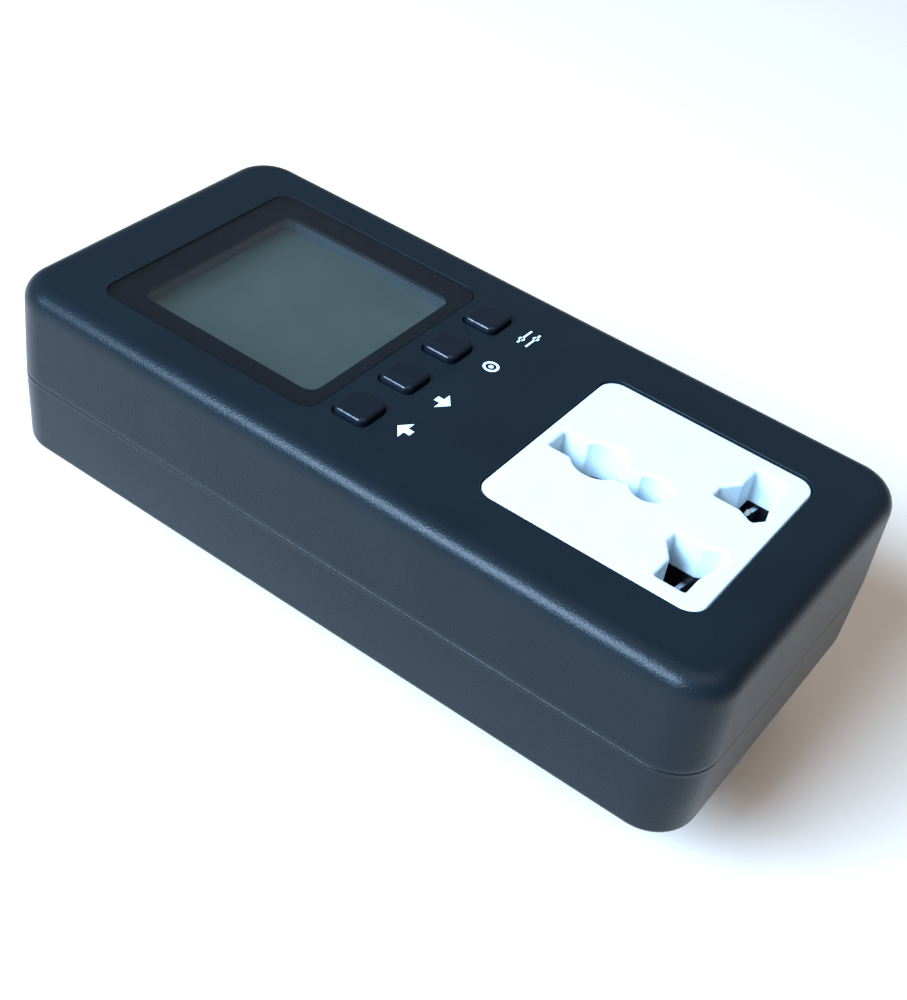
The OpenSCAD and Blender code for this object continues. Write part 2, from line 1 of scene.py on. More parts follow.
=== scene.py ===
# %% [markdown]
# # A plug-in power meter
#
# A slim dark box that hangs in a wall socket and measures what an appliance uses. Its front
# carries a display under a flush acrylic lens, four small keys, and a white universal socket.
# The CAD model already says where every piece is and how the keys travel. This notebook gives
# each piece the shape and the finish that a maker would recognise.
#
# The first cell loads the CAD model as a fixed frame. Its box is kept, and the floor is laid
# just under it.

# %% Load the frame
import math

import bmesh
import bpy
from mathutils import Matrix, Vector
from mathutils.geometry import tessellate_polygon


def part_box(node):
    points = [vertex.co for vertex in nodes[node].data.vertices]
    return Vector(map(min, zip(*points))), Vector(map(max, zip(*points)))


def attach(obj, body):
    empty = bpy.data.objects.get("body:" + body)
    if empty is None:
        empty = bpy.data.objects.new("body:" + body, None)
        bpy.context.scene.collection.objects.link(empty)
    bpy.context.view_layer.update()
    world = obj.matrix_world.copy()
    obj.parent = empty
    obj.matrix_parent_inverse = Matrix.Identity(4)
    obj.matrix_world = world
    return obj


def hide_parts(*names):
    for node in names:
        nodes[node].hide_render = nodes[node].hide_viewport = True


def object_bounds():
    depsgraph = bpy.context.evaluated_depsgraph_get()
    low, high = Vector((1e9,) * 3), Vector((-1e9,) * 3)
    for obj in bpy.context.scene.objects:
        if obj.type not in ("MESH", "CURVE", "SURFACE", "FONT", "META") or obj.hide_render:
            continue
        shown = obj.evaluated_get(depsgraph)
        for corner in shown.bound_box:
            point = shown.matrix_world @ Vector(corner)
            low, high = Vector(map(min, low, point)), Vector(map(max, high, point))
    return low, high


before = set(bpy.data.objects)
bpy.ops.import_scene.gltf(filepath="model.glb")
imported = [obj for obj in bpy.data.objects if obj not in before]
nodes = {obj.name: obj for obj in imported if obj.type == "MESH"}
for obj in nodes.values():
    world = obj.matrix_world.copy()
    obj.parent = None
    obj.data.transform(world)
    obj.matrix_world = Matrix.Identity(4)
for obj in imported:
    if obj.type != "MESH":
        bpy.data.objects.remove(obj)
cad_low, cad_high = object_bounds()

MM = 0.001

# %% [markdown]
# ## Sizes that the whole script shares
#
# Places come from the boxes of the CAD nodes, so a change in the CAD model carries over. What
# a box can't tell, such as a wall or a radius, is a named value in metres with the same meaning
# as in the CAD source. The case lies on its back, so its front face is its top.

# %% Read the places from the CAD boxes
front_low, front_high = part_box("front_case")
case_w = front_high.x - front_low.x
case_l = front_high.y - front_low.y
case_mid = Vector((0, (front_low.y + front_high.y) / 2))
face_z = front_high.z
parting_z = front_low.z
wall = 2 * MM
front_wall = 2.2 * MM
inside_z = face_z - front_wall
corner_r = 7.2 * MM
front_edge_r = 3.2 * MM
rear_edge_r = 1.3 * MM
front_draft = math.radians(0.9)
rear_draft = math.radians(1.8)
tongue_h = 1.5 * MM
tongue_gap = 0.1 * MM

lens_low, lens_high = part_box("display_lens")
frame_low, frame_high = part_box("display_frame")
insert_low, insert_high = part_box("socket_insert")
key_names = ["up", "down", "price", "set"]
print("case", [round(v / MM, 1) for v in (case_w, case_l, face_z)])
print("parting line", round(parting_z / MM, 1))


def middle(low, high):
    """The middle of a box, seen from the front."""
    return Vector(((low.x + high.x) / 2, (low.y + high.y) / 2))


# %% [markdown]
# ## A few small tools for materials
#
# A material is a short chain of nodes. One function adds a node with its settings, its plain
# values and its links at once, so a material below reads as a list of what it is made of.
# Colours are written as the hex values that a paint chart would give, and turned to the linear
# values that the renderer adds up.
#
# Three jobs come back in nearly every finish: a colour that drifts between two close values, a
# gloss that drifts with a fine pattern, and the relief of that pattern. Each has a function.


# %% Helpers for materials
def linear(code):
    """An sRGB hex value as linear red, green, blue and alpha."""
    parts = [int(code[i : i + 2], 16) / 255 for i in (1, 3, 5)]
    lit = [c / 12.92 if c <= 0.04045 else ((c + 0.055) / 1.055) ** 2.4 for c in parts]
    return (*lit, 1.0)


def add(tree, kind, inputs=None, **settings):
    """Adds one node. An input takes a value, an output, or a node, which gives its first output."""
    made = tree.nodes.new(kind)
    for name, value in settings.items():
        setattr(made, name, value)
    for name, value in (inputs or {}).items():
        if isinstance(value, bpy.types.Node):
            value = next(output for output in value.outputs if output.enabled)
        if isinstance(value, bpy.types.NodeSocket):
            tree.links.new(value, made.inputs[name])
        else:
            made.inputs[name].default_value = value
    return made


def new_material(name, **surface):
    """A material with one Principled shader, and the position in metres that its patterns read."""
    material = bpy.data.materials.new(name)
    material.use_nodes = True
    tree = material.node_tree
    shader = tree.nodes["Principled BSDF"]
    for socket, value in surface.items():
        shader.inputs[socket.replace("_", " ")].default_value = value
    place = add(tree, "ShaderNodeTexCoord").outputs["Object"]
    return material, tree, shader, place


def per_mm(size):
    """The texture scale that gives a pattern a feature size in millimetres."""
    return 1 / (size * MM)


def drift_colour(tree, shader, pattern, dark, light):
    """Lets the base colour drift between two hex values with a pattern."""
    ends = {"Factor": pattern, "A": linear(dark), "B": linear(light)}
    tint = add(tree, "ShaderNodeMix", ends, data_type="RGBA")
    tree.links.new(tint.outputs["Result"], shader.inputs["Base Color"])


def emboss(tree, shader, pattern, depth_mm, strength):
    """Makes a pattern stand out from the surface by a bump."""
    relief = {"Height": pattern, "Distance": depth_mm * MM, "Strength": strength}
    bump = add(tree, "ShaderNodeBump", relief)
    tree.links.new(bump.outputs["Normal"], shader.inputs["Normal"])
    return bump


def drift_gloss(tree, shader, pattern, roughness, spread):
    """Lets the roughness drift with a pattern, by spread on each side of its middle value."""
    ends = {"Value": pattern, "To Min": roughness - spread, "To Max": roughness + spread}
    rough = add(tree, "ShaderNodeMapRange", ends)
    tree.links.new(rough.outputs["Result"], shader.inputs["Roughness"])


# %% [markdown]
# ## Camera, floor and light
#
# The meter is seen from its socket end, a little above the left edge. A 57 mm lens on a 36 mm
# sensor stands about 23 cm away, which is close, so the near corner looks larger than the far
# one. The camera is rolled a little, as one held by hand.
#
# Dark plastic shows its shape by what it mirrors. A long cool softbox on the left puts the
# bright band on the rounded edge, the pale floor lifts both side walls, and the wall that the
# front face mirrors is left dim, so the face stays nearly black. A weak softbox overhead fills
# the white insert. The floor paper is slightly warm, because the light on it is blue, and the
# two together come out white.


# %% Place the camera
def hang(name, data):
    """A new object in the scene, at the origin."""
    made = bpy.data.objects.new(name, data)
    bpy.context.scene.collection.objects.link(made)
    return made


def look(location, target, roll=0.0):
    """A transform that stands at location and looks at target."""
    turn = (target - location).to_track_quat("-Z", "Y").to_matrix().to_4x4()
    return Matrix.Translation(location) @ turn @ Matrix.Rotation(roll, 4, "Z")


focal_mm, sensor_mm = 57, 36
stand_off = 229.85 * MM
camera_roll = math.radians(10.1)
sight = Vector((0.6611, 0.3734, -0.6508)).normalized()
aim = Vector((-6.74 * MM, case_mid.y - 7.75 * MM, face_z / 2))

camera_data = bpy.data.cameras.new("camera")
camera_data.lens = focal_mm
camera_data.sensor_width = sensor_mm
camera_data.clip_start = 10 * MM
camera = hang("camera", camera_data)
camera.matrix_world = look(aim - sight * stand_off, aim, camera_roll)
bpy.context.scene.camera = camera
print("camera at", [round(v, 3) for v in camera.location])


# %% Lay the floor and hang the lights
def softbox(name, toward, distance, size, watts, colour):
    """A soft rectangular light that stands toward a direction from the meter and faces it."""
    light = bpy.data.lights.new(name, "AREA")
    light.shape = "RECTANGLE"
    light.size, light.size_y = size
    light.energy = watts
    light.color = colour
    target = Vector((0, case_mid.y, face_z))
    place = target + Vector(toward).normalized() * distance
    hang(name, light).matrix_world = look(place, target)


window_blue = (0.47, 0.70, 1.0)
lamp_white = (1.0, 0.96, 0.92)
softbox("window_softbox", (-0.71, 0.25, 0.62), 0.9, (0.56, 0.36), watts=40, colour=window_blue)
softbox("overhead_softbox", (0.0, -0.25, 1.0), 1.3, (1.1, 1.1), watts=7, colour=lamp_white)

world = bpy.data.worlds.new("studio")
bpy.context.scene.world = world
world.use_nodes = True
room = world.node_tree.nodes["Background"].inputs
room["Color"].default_value = (0.80, 0.88, 1.0, 1)
room["Strength"].default_value = 0.25

bpy.context.scene.view_settings.view_transform = "Standard"
bpy.context.scene.view_settings.look = "None"

floor_half = 3.0
floor_z = cad_low.z - 0.2 * MM
floor_corners = [(-1, -1), (1, -1), (1, 1), (-1, 1)]
floor_mesh = bpy.data.meshes.new("floor")
floor_mesh.from_pydata(
    [(x * floor_half, y * floor_half, floor_z) for x, y in floor_corners], [], [(0, 1, 2, 3)]
)
paper = new_material("floor_paper", Base_Color=linear("#dbcbbc"), Roughness=0.9)[0]
floor_mesh.materials.append(paper)
floor = hang("floor", floor_mesh)

# %% [markdown]
# ## Moulded ABS with a spark-eroded texture
#
# Both shells are injection moulded in black ABS. The mould is spark-eroded, so the plastic
# comes out with tiny rounded pits, about a tenth of a millimetre wide. They break a highlight
# up into grains and keep fingerprints from showing. Two layers of noise drive a bump: the fine
# pits, drawn slightly coarse so that they show, and a slow waviness from uneven shrinkage.
# ABS has an IOR of about 1.54.


# %% Textured black ABS
def spark_eroded_abs(name, dark, light, roughness, grain_mm, bump, gloss):
    """ABS with the pits of a spark-eroded mould and the slow waves of uneven shrinkage."""
    material, tree, shader, place = new_material(name, IOR=1.54, Specular_IOR_Level=gloss)
    cloud = add(tree, "ShaderNodeTexNoise", {"Vector": place, "Scale": per_mm(14), "Detail": 3.0})
    drift_colour(tree, shader, cloud, dark, light)
    fine = {"Vector": place, "Scale": per_mm(grain_mm), "Detail": 2.0, "Roughness": 0.6}
    pits = add(tree, "ShaderNodeTexNoise", fine)
    drift_gloss(tree, shader, pits, roughness, 0.09)
    waves = {"Height": cloud, "Distance": 0.05 * MM, "Strength": 0.25}
    waves = add(tree, "ShaderNodeBump", waves)
    grain = emboss(tree, shader, pits, 0.07, bump)
    tree.links.new(waves.outputs["Normal"], grain.inputs["Normal"])
    return material


case_abs = spark_eroded_abs("case_abs", "#0e1519", "#131b20", 0.32, 0.28, 0.7, 0.12)
key_abs = spark_eroded_abs("key_abs", "#0a1016", "#0d141b", 0.24, 0.30, 0.4, 0.26)
# The display frame is real dark plastic. Its lighter grey-blue colour is a painted reflection of the
# display glass with painted shade, for the band along the display's edge.
frame_abs = spark_eroded_abs("frame_abs", "#36434d", "#3d4b55", 0.4, 0.4, 0.3, 0.3)
print("textured plastics:", case_abs.name, key_abs.name, frame_abs.name)

# %% [markdown]
# ## Building closed shells from rings
#
# Nearly every outside piece of the meter is a rounded rectangle that steps in or out as it
# rises. Such a piece could be a cube with a Bevel modifier, but draft, pockets and holes would
# then need Booleans, which leave ragged shading. Rings are tidier: each outline is a closed
# loop of points, a chain of loops makes a wall, and a flat cap with holes joins the chains.
# Every loop meets its neighbour exactly, so merging the doubles closes the solid.


# %% Outlines
CORNER_STEPS = 14


def rounded_ring(width, length, radius, z, centre=(0, 0)):
    """A rounded rectangle, anticlockwise, with the same number of points whatever its size."""
    points = []
    for turn in range(4):
        x = (width / 2 - radius) * (1 if turn in (0, 3) else -1) + centre[0]
        y = (length / 2 - radius) * (1 if turn < 2 else -1) + centre[1]
        for step in range(CORNER_STEPS + 1):
            angle = math.radians(90 * (turn + step / CORNER_STEPS))
            place = (x + radius * math.cos(angle), y + radius * math.sin(angle), z)
            points.append(Vector(place))
    return points


def circle_ring(radius, z, centre=(0, 0), sides=32):
    """A circle, anticlockwise."""
    x, y = centre
    angles = [math.tau * i / sides for i in range(sides)]
    return [Vector((x + radius * math.cos(a), y + radius * math.sin(a), z)) for a in angles]


def softened(corners, radius, steps=5):
    """An outline with a curve at each of its sharp corners."""
    points = []
    for i, corner in enumerate(corners):
        before = corners[i - 1] - corner
        after = corners[(i + 1) % len(corners)] - corner
        turn = math.pi - before.angle(after)
        if turn < math.radians(25):
            points.append(corner)
            continue
        reach = min(radius * math.tan(turn / 2), 0.45 * before.length, 0.45 * after.length)
        start = corner + before.normalized() * reach
        end = corner + after.normalized() * reach
        for step in range(steps + 1):
            t = step / steps
            points.append(start * (1 - t) ** 2 + corner * (2 * t * (1 - t)) + end * t**2)
    return points


def grown(outline, distance, z):
    """An outline moved outwards by a distance, at height z."""
    points = []
    for i, point in enumerate(outline):
        into = (point - outline[i - 1]).normalized()
        out = (outline[(i + 1) % len(outline)] - point).normalized()
        along = (into + out).normalized()
        side = Vector((along.y, -along.x))
        stretch = 1 / max(0.5, along.dot(out))
        moved = point + side * distance * stretch
        points.append(Vector((moved.x, moved.y, z)))
    return points


# %% Walls, caps and finished pieces
def wall_chain(bm, rings):
    """Joins each ring to the next with four-sided faces."""
    rows = [[bm.verts.new(point) for point in ring] for ring in rings]
    for low, high in zip(rows, rows[1:]):
        for i in range(len(low)):
            j = (i + 1) % len(low)
            bm.faces.new((low[i], low[j], high[j], high[i]))


def cap(bm, outline, holes=()):
    """Fills a flat outline and leaves its holes open."""
    loops = [outline, *holes]
    verts = [bm.verts.new(point) for loop in loops for point in loop]
    for triangle in tessellate_polygon([[(p.x, p.y, 0) for p in loop] for loop in loops]):
        bm.faces.new([verts[i] for i in triangle])


def solid_chain(bm, rings):
    """A wall of rings with a cap at each end."""
    wall_chain(bm, rings)
    cap(bm, rings[0])
    cap(bm, rings[-1])


def finished(bm, name, material, smooth_degrees=35):
    """Merges the doubles, points the faces outwards and makes the object."""
    bmesh.ops.remove_doubles(bm, verts=bm.verts, dist=0.0005 * MM)
    bmesh.ops.dissolve_degenerate(bm, edges=bm.edges, dist=0.0002 * MM)
    bmesh.ops.recalc_face_normals(bm, faces=bm.faces)
    open_edges = sum(1 for edge in bm.edges if not edge.is_manifold)
    mesh = bpy.data.meshes.new(name)
    bm.to_mesh(mesh)
    bm.free()
    mesh.shade_smooth()
    mesh.set_sharp_from_angle(angle=math.radians(smooth_degrees))
    mesh.materials.append(material)
    print(f"{name}: {len(mesh.polygons)} faces, {open_edges} open edges")
    return hang(name, mesh)


def rounded_edge(ring_at, radius, z_from, z_to, steps=5):
    """Rings that round an edge from a wall to a flat. ring_at(inset, z) makes one ring."""
    lift = math.copysign(1, z_to - z_from)
    rings = []
    for step in range(steps + 1):
        angle = math.radians(90 * step / steps)
        inset = radius * (1 - math.cos(angle))
        rings.append(ring_at(inset, z_to - lift * radius * (1 - math.sin(angle))))
    return rings


# %% [markdown]
# ## The front shell
#
# The front shell is a drafted tray, open at the back. Its sides lean in by about a degree so
# that it leaves the mould, and its front edge has a 3.2 mm radius that carries the bright band.
# The face has a shallow pocket for the lens, a window under it, four key holes and the socket
# opening. Inside stand the columns that the screws bite into. The rim has a step that takes the
# rear shell's tongue, and a small radius that makes one half of the parting groove.

# %% Where the front shell's features are
lens_r = 2.6 * MM
pocket_gap = 0.1 * MM
pocket_drop = 0.06 * MM
window_size = (34.4 * MM, 33.8 * MM)
window_r = 1.2 * MM
lens_mid = middle(lens_low, lens_high)
window_mid = middle(frame_low, frame_high)
lens_size = (lens_high.x - lens_low.x, lens_high.y - lens_low.y)
key_flange = 0.75 * MM
key_gap = 0.2 * MM
key_r = 1.2 * MM
insert_lip = 1.6 * MM
insert_gap = 0.25 * MM
insert_r = 2.8 * MM
insert_mid = middle(insert_low, insert_high)
insert_size = tuple(b - a - 2 * insert_lip for a, b in zip(insert_low, insert_high))[:2]
key_boxes = {name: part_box("key_" + name) for name in key_names}
key_size = key_boxes["up"][1].x - key_boxes["up"][0].x - 2 * key_flange


def corners_of(node, head_r):
    """The centres of the screws of a node that has one in each corner of its box."""
    low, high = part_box(node)
    ys = (low.y + head_r, high.y - head_r)
    return [(x, y) for x in (low.x + head_r, high.x - head_r) for y in ys]


case_screw_places = corners_of("case_screws", 2.6 * MM)
board_screw_places = corners_of("main_board_screws", 1.8 * MM)
socket_screw_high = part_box("socket_screws")[1]
socket_screw_x = socket_screw_high.x - 2.4 * MM
socket_screw_places = [(side * socket_screw_x, insert_mid.y) for side in (-1, 1)]
print("case screws", [tuple(round(v / MM, 1) for v in place) for place in case_screw_places])


# %% Model the front shell
def case_ring(inset, z):
    """The case's outline at height z, stepped in from its widest place."""
    radius = max(corner_r - inset, 0.2 * MM)
    return rounded_ring(case_w - 2 * inset, case_l - 2 * inset, radius, z, case_mid)


def front_side(z):
    """How far the front shell's drafted side has stepped in at height z."""
    return math.tan(front_draft) * (z - parting_z)


def column(bm, place, radius, root_z, end_z, bore_r, bore_z):
    """A closed screw column with a blind bore, rooted a little way inside a wall."""
    profile = [(radius, root_z), (radius, end_z), (bore_r, end_z), (bore_r, bore_z)]
    rings = [circle_ring(r, z, place) for r, z in profile]
    solid_chain(bm, rings)


def hole_chain(size, radius, centre, edge, stops):
    """Rings of a hole in the face: a rounded rim, then one ring for each height in stops."""
    def ring(out, z):
        return rounded_ring(size[0] + 2 * out, size[1] + 2 * out, radius + out, z, centre)

    angles = (0, 0.4, 0.8, 1.2, math.pi / 2)
    rim = [ring(edge * (1 - math.sin(a)), face_z - edge * (1 - math.cos(a))) for a in angles]
    return [ring(edge + support, face_z), *rim, *[ring(0, z) for z in stops]]


support = 0.05 * MM
groove_r = 0.12 * MM
edge_steps = 10
front_bm = bmesh.new()

# Outside: rim radius, drafted side, rounded front edge, and a flat just past it
edge_low_z = face_z - front_edge_r
side_in = front_side(edge_low_z)
outside = [case_ring(groove_r, parting_z), case_ring(groove_r * 0.3, parting_z + groove_r * 0.3)]
outside.append(case_ring(0, parting_z + groove_r))
outside += [case_ring(front_side(z), z) for z in (parting_z + 1 * MM, edge_low_z - 0.3 * MM)]
outside += rounded_edge(
    lambda step_in, z: case_ring(side_in + step_in, z), front_edge_r, edge_low_z, face_z, edge_steps
)
outside.append(case_ring(side_in + front_edge_r + support, face_z))
wall_chain(front_bm, outside)

# Holes in the face, each a chain from the face down to the ceiling
pocket_z = lens_low.z - pocket_drop
pocket_size = [s + 2 * pocket_gap for s in lens_size]
pocket = hole_chain(pocket_size, lens_r + pocket_gap, lens_mid, 0.08 * MM, [pocket_z])
window = [rounded_ring(*window_size, window_r, z, window_mid) for z in (pocket_z, inside_z)]
wall_chain(front_bm, pocket + window)
face_holes, ceiling_holes = [pocket[0]], [window[-1]]
key_hole = [key_size + 2 * key_gap] * 2
openings = [(key_hole, key_r + key_gap, middle(*box), 0.15 * MM) for box in key_boxes.values()]
insert_hole = [s + 2 * insert_gap for s in insert_size]
openings.append((insert_hole, insert_r + insert_gap, insert_mid, 0.12 * MM))
for opening in openings:
    chain = hole_chain(*opening, [inside_z])
    wall_chain(front_bm, chain)
    face_holes.append(chain[0])
    ceiling_holes.append(chain[-1])
cap(front_bm, outside[-1], face_holes)

# Inside: step for the tongue, side, ceiling and the screw columns
step_in = wall / 2 - tongue_gap / 2
step_z = parting_z + tongue_h + 0.2 * MM
inside_side = wall + front_side(inside_z)
inside = [case_ring(groove_r, parting_z), case_ring(step_in, parting_z), case_ring(step_in, step_z)]
inside += [case_ring(wall + front_side(step_z), step_z), case_ring(inside_side, inside_z - 1.2 * MM)]
inside.append(case_ring(inside_side + 0.35 * MM, inside_z - 0.35 * MM))
inside.append(case_ring(inside_side + 1.2 * MM, inside_z))
wall_chain(front_bm, inside)
board_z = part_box("main_board")[1].z
cap(front_bm, inside[-1], ceiling_holes)
root_z = inside_z + 0.5 * MM
columns = [
    # places, radius and end of the column, radius and end of its bore
    (case_screw_places, 3.5, parting_z + 0.1 * MM, 1.35, 23 * MM),
    (board_screw_places, 2, board_z, 0.9, board_z + 5 * MM),
    (socket_screw_places, 3, 18 * MM, 1.15, 24.5 * MM),
]
for places, radius, end_z, bore_r, bore_z in columns:
    for place in places:
        column(front_bm, place, radius * MM, root_z, end_z, bore_r * MM, bore_z)
front_shell = finished(front_bm, "front_shell", case_abs)
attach(front_shell, "housing")
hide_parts("front_case")

# %% [markdown]
# ## The rear shell
#
# The rear shell is the tray that the plug comes out of. Its top edge has a slightly larger
# radius than the front shell's rim, so light catches it just under the dark groove. Four deep
# wells lead to the case screws. Around each well stands a column, and the floor carries posts
# for the power board and low ribs that press the socket's cover home.

# %% Model the rear shell
pin_boxes = {name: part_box(name + "_pin") for name in ("line", "neutral", "earth")}
shaft_r = {"line": 2.54 * MM, "neutral": 2.54 * MM, "earth": 3.53 * MM}
collar_step = 0.5 * MM
power_board_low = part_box("power_board")[0]
post_screw_low, post_screw_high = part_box("power_board_screws")
retainer_screw_low, retainer_screw_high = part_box("retainer_screws")
cover_low, cover_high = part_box("carrier_cover")
lip_r = 0.3 * MM
rear_bm = bmesh.new()


def rear_side(z):
    """How far the rear shell's drafted side has stepped in at height z."""
    return math.tan(rear_draft) * (parting_z - z)


# Outside: flat just before the rear edge, rounded edge, drafted side, lip at the parting line
foot_in = rear_side(rear_edge_r)
lip_z = parting_z - lip_r
lip_top_z = parting_z - 0.02 * MM
outside = [case_ring(foot_in + rear_edge_r + support, 0)]
outside += reversed(
    rounded_edge(lambda step, z: case_ring(foot_in + step, z), rear_edge_r, rear_edge_r, 0, 6)
)
outside += [case_ring(rear_side(z), z) for z in (parting_z - 1 * MM, lip_z - support)]
outside += rounded_edge(case_ring, lip_r, lip_z, lip_top_z, 4)
tongue_out = wall / 2 + tongue_gap / 2
tongue_z = parting_z + tongue_h
outside += [case_ring(tongue_out, z) for z in (lip_top_z, tongue_z)]
outside += [case_ring(wall, z) for z in (tongue_z, parting_z)]
outside.append(case_ring(wall + rear_side(wall), wall))
wall_chain(rear_bm, outside)

# Holes of the rear face and what stands on the floor
rear_holes, floor_holes = [], []
well_r = 2.9 * MM
well_z = 9 * MM
screw_bore_r = 1.55 * MM
column_r = 3.5 * MM
column_top = parting_z - 0.1 * MM
root_z = wall - 0.5 * MM
tube_r = well_r - 0.02 * MM


def floor_hole(profile, centre, sides):
    """Rings of a hole from the rear face up to the floor inside."""
    rings = [circle_ring(r, z, centre, sides) for r, z in profile]
    wall_chain(rear_bm, rings)
    rear_holes.append(rings[0])
    floor_holes.append(rings[-1])


for place in case_screw_places:
    floor_hole([(well_r + 0.25 * MM, 0), (well_r, 0.25 * MM), (well_r, wall)], place, 32)
    # The column is a closed tube of its own, rooted in the floor and in the wall beside it
    tube = [(tube_r, root_z), (column_r, root_z), (column_r, column_top)]
    tube += [(screw_bore_r, column_top), (screw_bore_r, well_z), (tube_r, well_z), (tube_r, root_z)]
    wall_chain(rear_bm, [circle_ring(r, z, place) for r, z in tube])
for name, box in pin_boxes.items():
    radius = shaft_r[name] + collar_step + 0.1 * MM
    floor_hole([(radius + 0.3 * MM, 0), (radius, 0.3 * MM), (radius, wall)], middle(*box), 48)
cap(rear_bm, outside[0], rear_holes)
cap(rear_bm, outside[-1], floor_holes)
post_x = post_screw_high.x - 2 * MM
post_y = (post_screw_low.y + post_screw_high.y) / 2
retainer_x = retainer_screw_high.x - 2 * MM
retainer_y = (retainer_screw_low.y + retainer_screw_high.y) / 2
retainer_z = wall + 3.4 * MM
rib_z = cover_low.z - 0.1 * MM
for side in (-1, 1):
    post = (side * post_x, post_y)
    column(rear_bm, post, 2.3 * MM, root_z, power_board_low.z, 0.9 * MM, 2.5 * MM)
    post = (side * retainer_x, retainer_y)
    column(rear_bm, post, 2.6 * MM, root_z, retainer_z, 0.9 * MM, root_z + 0.2 * MM)
    rib_mid = (side * (cover_high.x - 5 * MM), insert_mid.y)
    rib = [rounded_ring(1.6 * MM, 20 * MM, 0.3 * MM, z, rib_mid) for z in (root_z, rib_z)]
    solid_chain(rear_bm, rib)
rear_shell = finished(rear_bm, "rear_shell", case_abs)
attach(rear_shell, "housing")
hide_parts("rear_case")

# %% [markdown]
# ## The display lens
#
# The lens is a piece of clear acrylic with an IOR of 1.49, cut from sheet and glued flush into
# its pocket. A black border is screen-printed on its back and leaves a window open. The print
# is bonded to the acrylic, so it is a thin layer of ink that reaches a little way into the
# back: a gap of air between the two would mirror the light and turn the border grey. The cut
# edge is painted black too, or light that enters it would come back as a bright line.


# %% Clear acrylic and black ink
def clear_acrylic(name):
    """Clear acrylic with the faint smudges of handling, which only the roughness shows."""
    clear = {"Transmission_Weight": 1.0, "Base_Color": linear("#f4fbfa")}
    material, tree, shader, place = new_material(name, IOR=1.49, Roughness=0.02, **clear)
    smudge = add(tree, "ShaderNodeTexNoise", {"Vector": place, "Scale": per_mm(5), "Detail": 4.0})
    ends = {"Value": smudge, "From Min": 0.45, "From Max": 0.7, "To Min": 0.02, "To Max": 0.09}
    rough = add(tree, "ShaderNodeMapRange", ends)
    tree.links.new(rough.outputs["Result"], shader.inputs["Roughness"])
    return material


def printed_ink(name, dark, light, roughness, gloss):
    """Ink with the fine unevenness that a printing screen or pad leaves."""
    material, tree, shader, place = new_material(
        name, IOR=1.5, Specular_IOR_Level=gloss, Roughness=roughness
    )
    mesh = add(tree, "ShaderNodeTexNoise", {"Vector": place, "Scale": per_mm(0.2), "Detail": 1.0})
    drift_colour(tree, shader, mesh, dark, light)
    return material


lens_acrylic = clear_acrylic("lens_acrylic")
black_ink = printed_ink("black_ink", "#0b131a", "#101920", 0.6, 0.0)
print("lens finishes:", lens_acrylic.name, black_ink.name)

# %% Model the lens and its print
lens_bm = bmesh.new()
lens_edge = 0.06 * MM


def lens_ring(inset, z):
    width, length = (side - 2 * inset for side in lens_size)
    return rounded_ring(width, length, lens_r - inset, z, lens_mid)


lens_chain = [lens_ring(support, lens_low.z), lens_ring(0, lens_low.z)]
lens_chain.append(lens_ring(0, lens_high.z - lens_edge))
lens_chain += [lens_ring(inset, lens_high.z) for inset in (lens_edge, lens_edge + support)]
solid_chain(lens_bm, lens_chain)
lens = finished(lens_bm, "display_lens_clear", lens_acrylic)
lens.data.materials.append(black_ink)
# Faces that don't look straight up or down are the cut edge and its chamfer
for face in lens.data.polygons:
    face.material_index = 1 if abs(face.normal.z) < 0.9 else 0
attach(lens, "housing")
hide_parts("display_lens")

mask_size = (33.4 * MM, 32.8 * MM)
mask_r = 2.0 * MM
ink_top = lens_low.z + 0.02 * MM
ink_low = ink_top - 0.03 * MM
border = 0.02 * MM
print_bm = bmesh.new()
outer = [lens_ring(border, z) for z in (ink_low, ink_top)]
inner = [rounded_ring(*mask_size, mask_r, z, window_mid) for z in (ink_low, ink_top)]
for loop in (outer, inner):
    wall_chain(print_bm, loop)
for outline, hole in zip(outer, inner):
    cap(print_bm, outline, [hole])
lens_print = finished(print_bm, "lens_print", black_ink)
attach(lens_print, "housing")

# %% [markdown]
# ## The display glass
#
# A reflective display looks grey-green when it is off. The colour comes from a polariser film
# over a brushed reflector, so it is soft and slightly cloudy, with a finer gloss on top. The
# CAD glass has the right shape, so it only gets this finish.


# %% The display film
def off_display(name):
    """A display's polariser film over its reflector, with a softer gloss on top."""
    gloss = {"Coat_Weight": 0.5, "Coat_Roughness": 0.15}
    material, tree, shader, place = new_material(name, IOR=1.5, Roughness=0.32, **gloss)
    cloud = add(tree, "ShaderNodeTexNoise", {"Vector": place, "Scale": per_mm(9), "Detail": 4.0})
    drift_colour(tree, shader, cloud, "#404f4b", "#47544f")
    film = add(tree, "ShaderNodeTexNoise", {"Vector": place, "Scale": per_mm(0.5), "Detail": 2.0})
    emboss(tree, shader, film, 0.01, 0.2)
    return material


display_film = off_display("display_film")
print("display finish:", display_film.name)


# %% [markdown]
# ## The keys
#
# The four keys are one family: small rounded squares of glossy black plastic, 1 mm proud of
# the face, with a soft radius round the top and a faint dish where a fingertip lands. Each one
# moves by itself, so each is its own object on its own body, and all four come from one
# function. Under the face a flange keeps the key from falling out.


